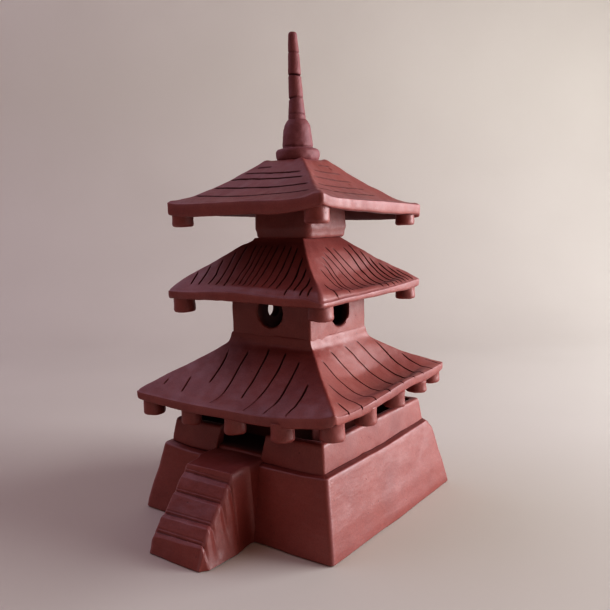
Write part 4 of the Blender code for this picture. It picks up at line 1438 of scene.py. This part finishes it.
def shaft_side(side, half, top):
    """One side's sheet with its window's cells left out, and the ring of points round the window."""
    centre, level, radius = WINDOWS[side]
    heights = window_lines(SHAFT_FOOT, top, level, 12, 12)
    straight = half - SHAFT_ROUNDING
    places = window_lines(-straight, straight, centre, 12, 8)
    corner = SHAFT_ROUNDING * np.arange(CORNER_STEPS + 1) / CORNER_STEPS
    places = np.concatenate([-half + corner[:-1], places, straight + corner[1:]])
    along, rise = np.meshgrid(places, heights)
    dx, dz = along - centre, rise - level
    reach = np.maximum(np.abs(dx), np.abs(dz))
    away = np.hypot(dx, dz) + 1e-9
    blend = np.clip((reach - WINDOW_BLOCK) / (WINDOW_SPAN - WINDOW_BLOCK), 0, 1)
    edge = radius + WINDOW_ARRIS
    inside = reach < WINDOW_SPAN - NEAR
    x = np.where(inside, dx / away * edge + (dx - dx / away * edge) * blend, dx) + centre
    z = np.where(inside, dz / away * edge + (dz - dz / away * edge) * blend, dz) + level
    plan = plan_places(side, np.full_like(x, half), x, SHAFT_ROUNDING, SHAFT_TURN, SHAFT_SHIFT)
    grid = np.stack([*plan, z], axis=-1)
    middle_x = (dx[:-1, :-1] + dx[1:, 1:]) / 2
    middle_z = (dz[:-1, :-1] + dz[1:, 1:]) / 2
    hole = np.maximum(np.abs(middle_x), np.abs(middle_z)) < WINDOW_BLOCK
    on_edge = np.abs(reach - WINDOW_BLOCK) < NEAR
    order = np.argsort(np.arctan2(dz[on_edge], dx[on_edge]))
    return grid, hole, grid[on_edge][order]


def build_second_storey():
    clay = Clay()
    for side in range(4):
        outer_grid, hole, outer = shaft_side(side, SHAFT_OUTER, SHAFT_OUTER_TOP)
        inner_grid, inner_hole, inner = shaft_side(side, SHAFT_INNER, SHAFT_INNER_TOP)
        clay.sheet(outer_grid, hole=hole)
        # The inner sheet carries painted shade
        clay.sheet(inner_grid, np.full(inner_grid.shape[:2], INNER_PAINTED_SHADE), hole=inner_hole, flip=True)
        centre_out, centre_in = outer.mean(axis=0), inner.mean(axis=0)
        rows = []
        for depth, shrink in JAMB_STEPS:
            ring = outer + (inner - outer) * depth
            centre = centre_out + (centre_in - centre_out) * depth
            rows.append(centre + (ring - centre) * shrink)
        # Painted shade that grows into the window jambs
        dark = np.array([[INNER_PAINTED_SHADE * ease(depth / INNER_SHADE_DEPTH)] for depth, _ in JAMB_STEPS])
        clay.sheet(np.array(rows), np.repeat(dark, len(outer), axis=1), wrap_columns=True)
    nodes = ["storey2_" + side + "_wall" for side in SIDES]
    finish_piece("storey2_shaft_clay", clay, "wall_clay", nodes, SHAFT_STROKES, SHAFT_SEED)


# Third storey

BAND_OUTLINE = (
    (172, 20.2), (172.7, 20.9), (173.6, 21.2), (175.6, 21.4), (178.6, 22), (183, 21.9), (190, 21.6),
    (200, 21.4), (206.4, 21.3),
)
BAND_SHIFT = (2.3, 1.3)
BAND_ROUNDING, BAND_FILL, BAND_BULGE = 4.4, 30, 0.5
BAND_INSIDE = ((17.0, 209.0), (15.3, 209.0), (15.3, 190.0), (15.3, 172.0))


def build_third_storey():
    heights = np.concatenate([[172.0, 172.35, 172.8, 173.3], np.arange(174.0, 206.4, 1.0)])
    rows = [*zip(curve(BAND_OUTLINE, heights), heights), *BAND_INSIDE]
    rows = [(half, height, 0.0) for half, height in rows]
    grid = square_sheet(rows, BAND_ROUNDING, BAND_FILL, bulge=BAND_BULGE, shift=BAND_SHIFT)
    strokes = ((0.34, 12.0), (0.18, 4.5), (0.07, 2.0))
    sheet_piece("storey3_band_clay", grid, None, "wall_clay", ["storey3_band"], strokes, 17, capped=False)


# Finial

FINIAL_COLUMNS = 72
FINIAL_PLACE = (1.4, 1.1)
RING_DARK = 0.8


def turned_piece(name, outline, heights, rings, lean, strokes, seed):
    """A turned piece with incised rings, each (height, depth, width)."""
    radius = curve(outline, heights)
    angles = np.linspace(0, 2 * math.pi, FINIAL_COLUMNS + 1)[:-1]
    cut = np.zeros((len(heights), FINIAL_COLUMNS))
    for height, depth, width in rings:
        wander = 0.35 * np.sin(angles + height) + 0.2 * np.sin(2 * angles + 2 * height)
        distance = np.abs(heights[:, None] - height - wander[None, :]) / width
        strength = 0.7 + 0.3 * np.sin(angles + height * 3)
        cut += depth * np.clip(1 - distance, 0, 1) ** 0.8 * strength[None, :]
    radii = radius[:, None] - cut
    share = (heights - heights[0]) / (heights[-1] - heights[0])
    x = FINIAL_PLACE[0] + radii * np.cos(angles) + (lean[0] * share)[:, None]
    y = FINIAL_PLACE[1] + radii * np.sin(angles) + (lean[1] * share)[:, None]
    grid = np.stack([x, y, np.broadcast_to(heights[:, None], x.shape)], axis=-1)
    # Painted shade in the incised rings
    dark = np.clip(cut / RING_DARK, 0, 1)
    sheet_piece(name + "_clay", grid, dark, "finial_clay", [name], strokes, seed)


FINIAL_RING = (
    (219.2, 12.6), (220.4, 12.9), (221.6, 13.6), (223.8, 13.95), (225.9, 13.8), (227.4, 13),
    (228.1, 11.6), (228.5, 9.6),
)
FINIAL_BELL = (
    (227.9, 9.9), (228.7, 9.75), (229.6, 9.8), (233, 9.5), (237.4, 9), (241.8, 8.1), (244.6, 7),
    (246.2, 5.6),
)
FINIAL_SPIRE = (
    (245.6, 5.3), (246.6, 5.5), (248, 5.45), (255, 4.9), (260.6, 4.5), (267, 4.25), (274, 4),
    (281.5, 3.7), (288, 3.4), (294, 3.1), (297.6, 2.8), (299, 2.3), (299.5, 1.4),
)
BELL_RINGS = ((229, 0.3, 0.6),)
SPIRE_RINGS = ((249.5, 0.35, 0.6), (259.2, 0.75, 0.9), (273, 0.95, 0.8), (286.9, 0.5, 0.7))


def build_finial():
    straight, lean = (0, 0), (-1.4, -1.1)
    rough = ((0.34, 8.0), (0.20, 3.0), (0.09, 1.4))
    fine = ((0.20, 6.0), (0.10, 2.5), (0.05, 1.1))
    turned_piece("finial_ring", FINIAL_RING, np.linspace(219.2, 228.5, 34), (), straight, rough, 21)
    turned_piece("finial_bell", FINIAL_BELL, np.linspace(227.9, 246.2, 60), BELL_RINGS, straight, rough, 25)
    turned_piece("finial_spire", FINIAL_SPIRE, np.linspace(245.6, 299.5, 190), SPIRE_RINGS, lean, fine, 29)


# Floor, light and camera

def stage_material():
    paper = Nodes("stage_paper")
    coordinates = paper.new("ShaderNodeTexCoord")
    tone = paper.noise(coordinates.outputs["Object"], 4.0, 2.0, 0.5)
    colour = paper.ramp(tone, (0.3, (0.68, 0.66, 0.60)), (0.7, (0.71, 0.69, 0.63)))
    paper.join(colour, paper.shader.inputs["Base Color"])
    paper.shader.inputs["Roughness"].default_value = 0.9
    return paper.material


FLOOR_FRONT, FLOOR_BACK = -2.2, 0.55
SWEEP_RADIUS, SWEEP_STEPS = 0.45, 12
WALL_TOP = 2.6
STAGE_SIDES = (-3.0, 3.0)
STAGE_TURN = math.radians(36.0)
FLOOR_GAP = 0.0004


def build_stage():
    """A pale floor that curves up into a wall behind the model."""
    path = [(FLOOR_FRONT, 0.0), (FLOOR_BACK, 0.0)]
    for step in range(1, SWEEP_STEPS + 1):
        angle = math.pi / 2 * step / SWEEP_STEPS
        path.append((FLOOR_BACK + SWEEP_RADIUS * math.sin(angle), SWEEP_RADIUS * (1 - math.cos(angle))))
    path.append((FLOOR_BACK + SWEEP_RADIUS, WALL_TOP))
    verts, faces = [], []
    for index, (away, height) in enumerate(path):
        for side in STAGE_SIDES:
            x = -away * math.sin(STAGE_TURN) + side * math.cos(STAGE_TURN)
            y = away * math.cos(STAGE_TURN) + side * math.sin(STAGE_TURN)
            verts.append((x, y, height - FLOOR_GAP))
        if index:
            base = 2 * index
            faces.append((base - 2, base - 1, base + 1, base))
    mesh = bpy.data.meshes.new("stage_sweep")
    mesh.from_pydata(verts, [], faces)
    mesh.polygons.foreach_set("use_smooth", [True] * len(mesh.polygons))
    mesh.materials.append(stage_material())
    sweep = bpy.data.objects.new("stage_sweep", mesh)
    bpy.context.scene.collection.objects.link(sweep)


LIGHT_AIM = Vector((0.0, 0.02, 0.13))
ROOM_COLOUR, ROOM_STRENGTH = (1.0, 0.66, 0.58, 1.0), 0.19


def area_light(name, azimuth, elevation, distance, size, power, colour):
    """A soft rectangle aimed at the tower. Azimuth is in degrees from +X towards +Y."""
    azimuth, elevation = math.radians(azimuth), math.radians(elevation)
    level = math.cos(elevation)
    away = Vector((level * math.cos(azimuth), level * math.sin(azimuth), math.sin(elevation)))
    data = bpy.data.lights.new(name, "AREA")
    data.shape = "RECTANGLE"
    data.size, data.size_y = size
    data.energy = power
    data.color = colour
    light = bpy.data.objects.new(name, data)
    bpy.context.scene.collection.objects.link(light)
    light.location = LIGHT_AIM + away * distance
    light.rotation_euler = (-away).to_track_quat("-Z", "Y").to_euler()


def build_lights():
    area_light("window_light", 36.0, 13.5, 1.1, (0.9, 0.7), 12.9, (0.94, 0.96, 1.0))
    area_light("sky_light", 192.0, 46.0, 1.5, (1.8, 1.3), 5.8, (0.78, 0.72, 1.0))
    world = bpy.data.worlds.new("soft_room")
    world.use_nodes = True
    background = world.node_tree.nodes["Background"]
    background.inputs["Color"].default_value = ROOM_COLOUR
    background.inputs["Strength"].default_value = ROOM_STRENGTH
    bpy.context.scene.world = world


FOCAL_PIXELS = 690.32
PICTURE_PIXELS = 610
SENSOR_MM = 36.0
CAMERA_AZIMUTH = 0.6323
CAMERA_DISTANCE = 0.4478
CAMERA_HEIGHT = 0.1852
CAMERA_YAW = -0.0095
CAMERA_PITCH = 0.1272
CAMERA_ROLL = -0.0213


def build_camera():
    yaw = CAMERA_AZIMUTH + CAMERA_YAW
    place = Vector((
        CAMERA_DISTANCE * math.sin(CAMERA_AZIMUTH),
        -CAMERA_DISTANCE * math.cos(CAMERA_AZIMUTH) + TOWER_Y * MM,
        CAMERA_HEIGHT,
    ))
    level = math.cos(CAMERA_PITCH)
    forward = Vector((-math.sin(yaw) * level, math.cos(yaw) * level, -math.sin(CAMERA_PITCH)))
    right = forward.cross(Vector((0.0, 0.0, 1.0))).normalized()
    up = right.cross(forward)
    cos, sin = math.cos(CAMERA_ROLL), math.sin(CAMERA_ROLL)
    right, up = right * cos + up * sin, up * cos - right * sin
    turn = Matrix((right, up, -forward)).transposed().to_4x4()
    data = bpy.data.cameras.new("photo_camera")
    data.sensor_width = SENSOR_MM
    data.lens = FOCAL_PIXELS / PICTURE_PIXELS * SENSOR_MM
    data.clip_start = 0.01
    camera = bpy.data.objects.new("photo_camera", data)
    bpy.context.scene.collection.objects.link(camera)
    camera.matrix_world = Matrix.Translation(place) @ turn
    bpy.context.scene.camera = camera


def main():
    build_plinth()
    build_deck()
    build_stair()
    build_first_storey()
    build_second_storey()
    build_roof("lower_roof", LOWER_ROOF, SHAFT_STROKES, SHAFT_SEED)
    build_roof("middle_roof", MIDDLE_ROOF, ((0.28, 15.0), (0.16, 5.0), (0.08, 2.2)), 23)
    build_top_roof()
    build_studs()
    build_third_storey()
    build_finial()
    build_stage()
    build_lights()
    build_camera()
    bpy.context.scene.view_settings.view_transform = "Standard"
    bpy.context.scene.view_settings.look = "High Contrast"


main()
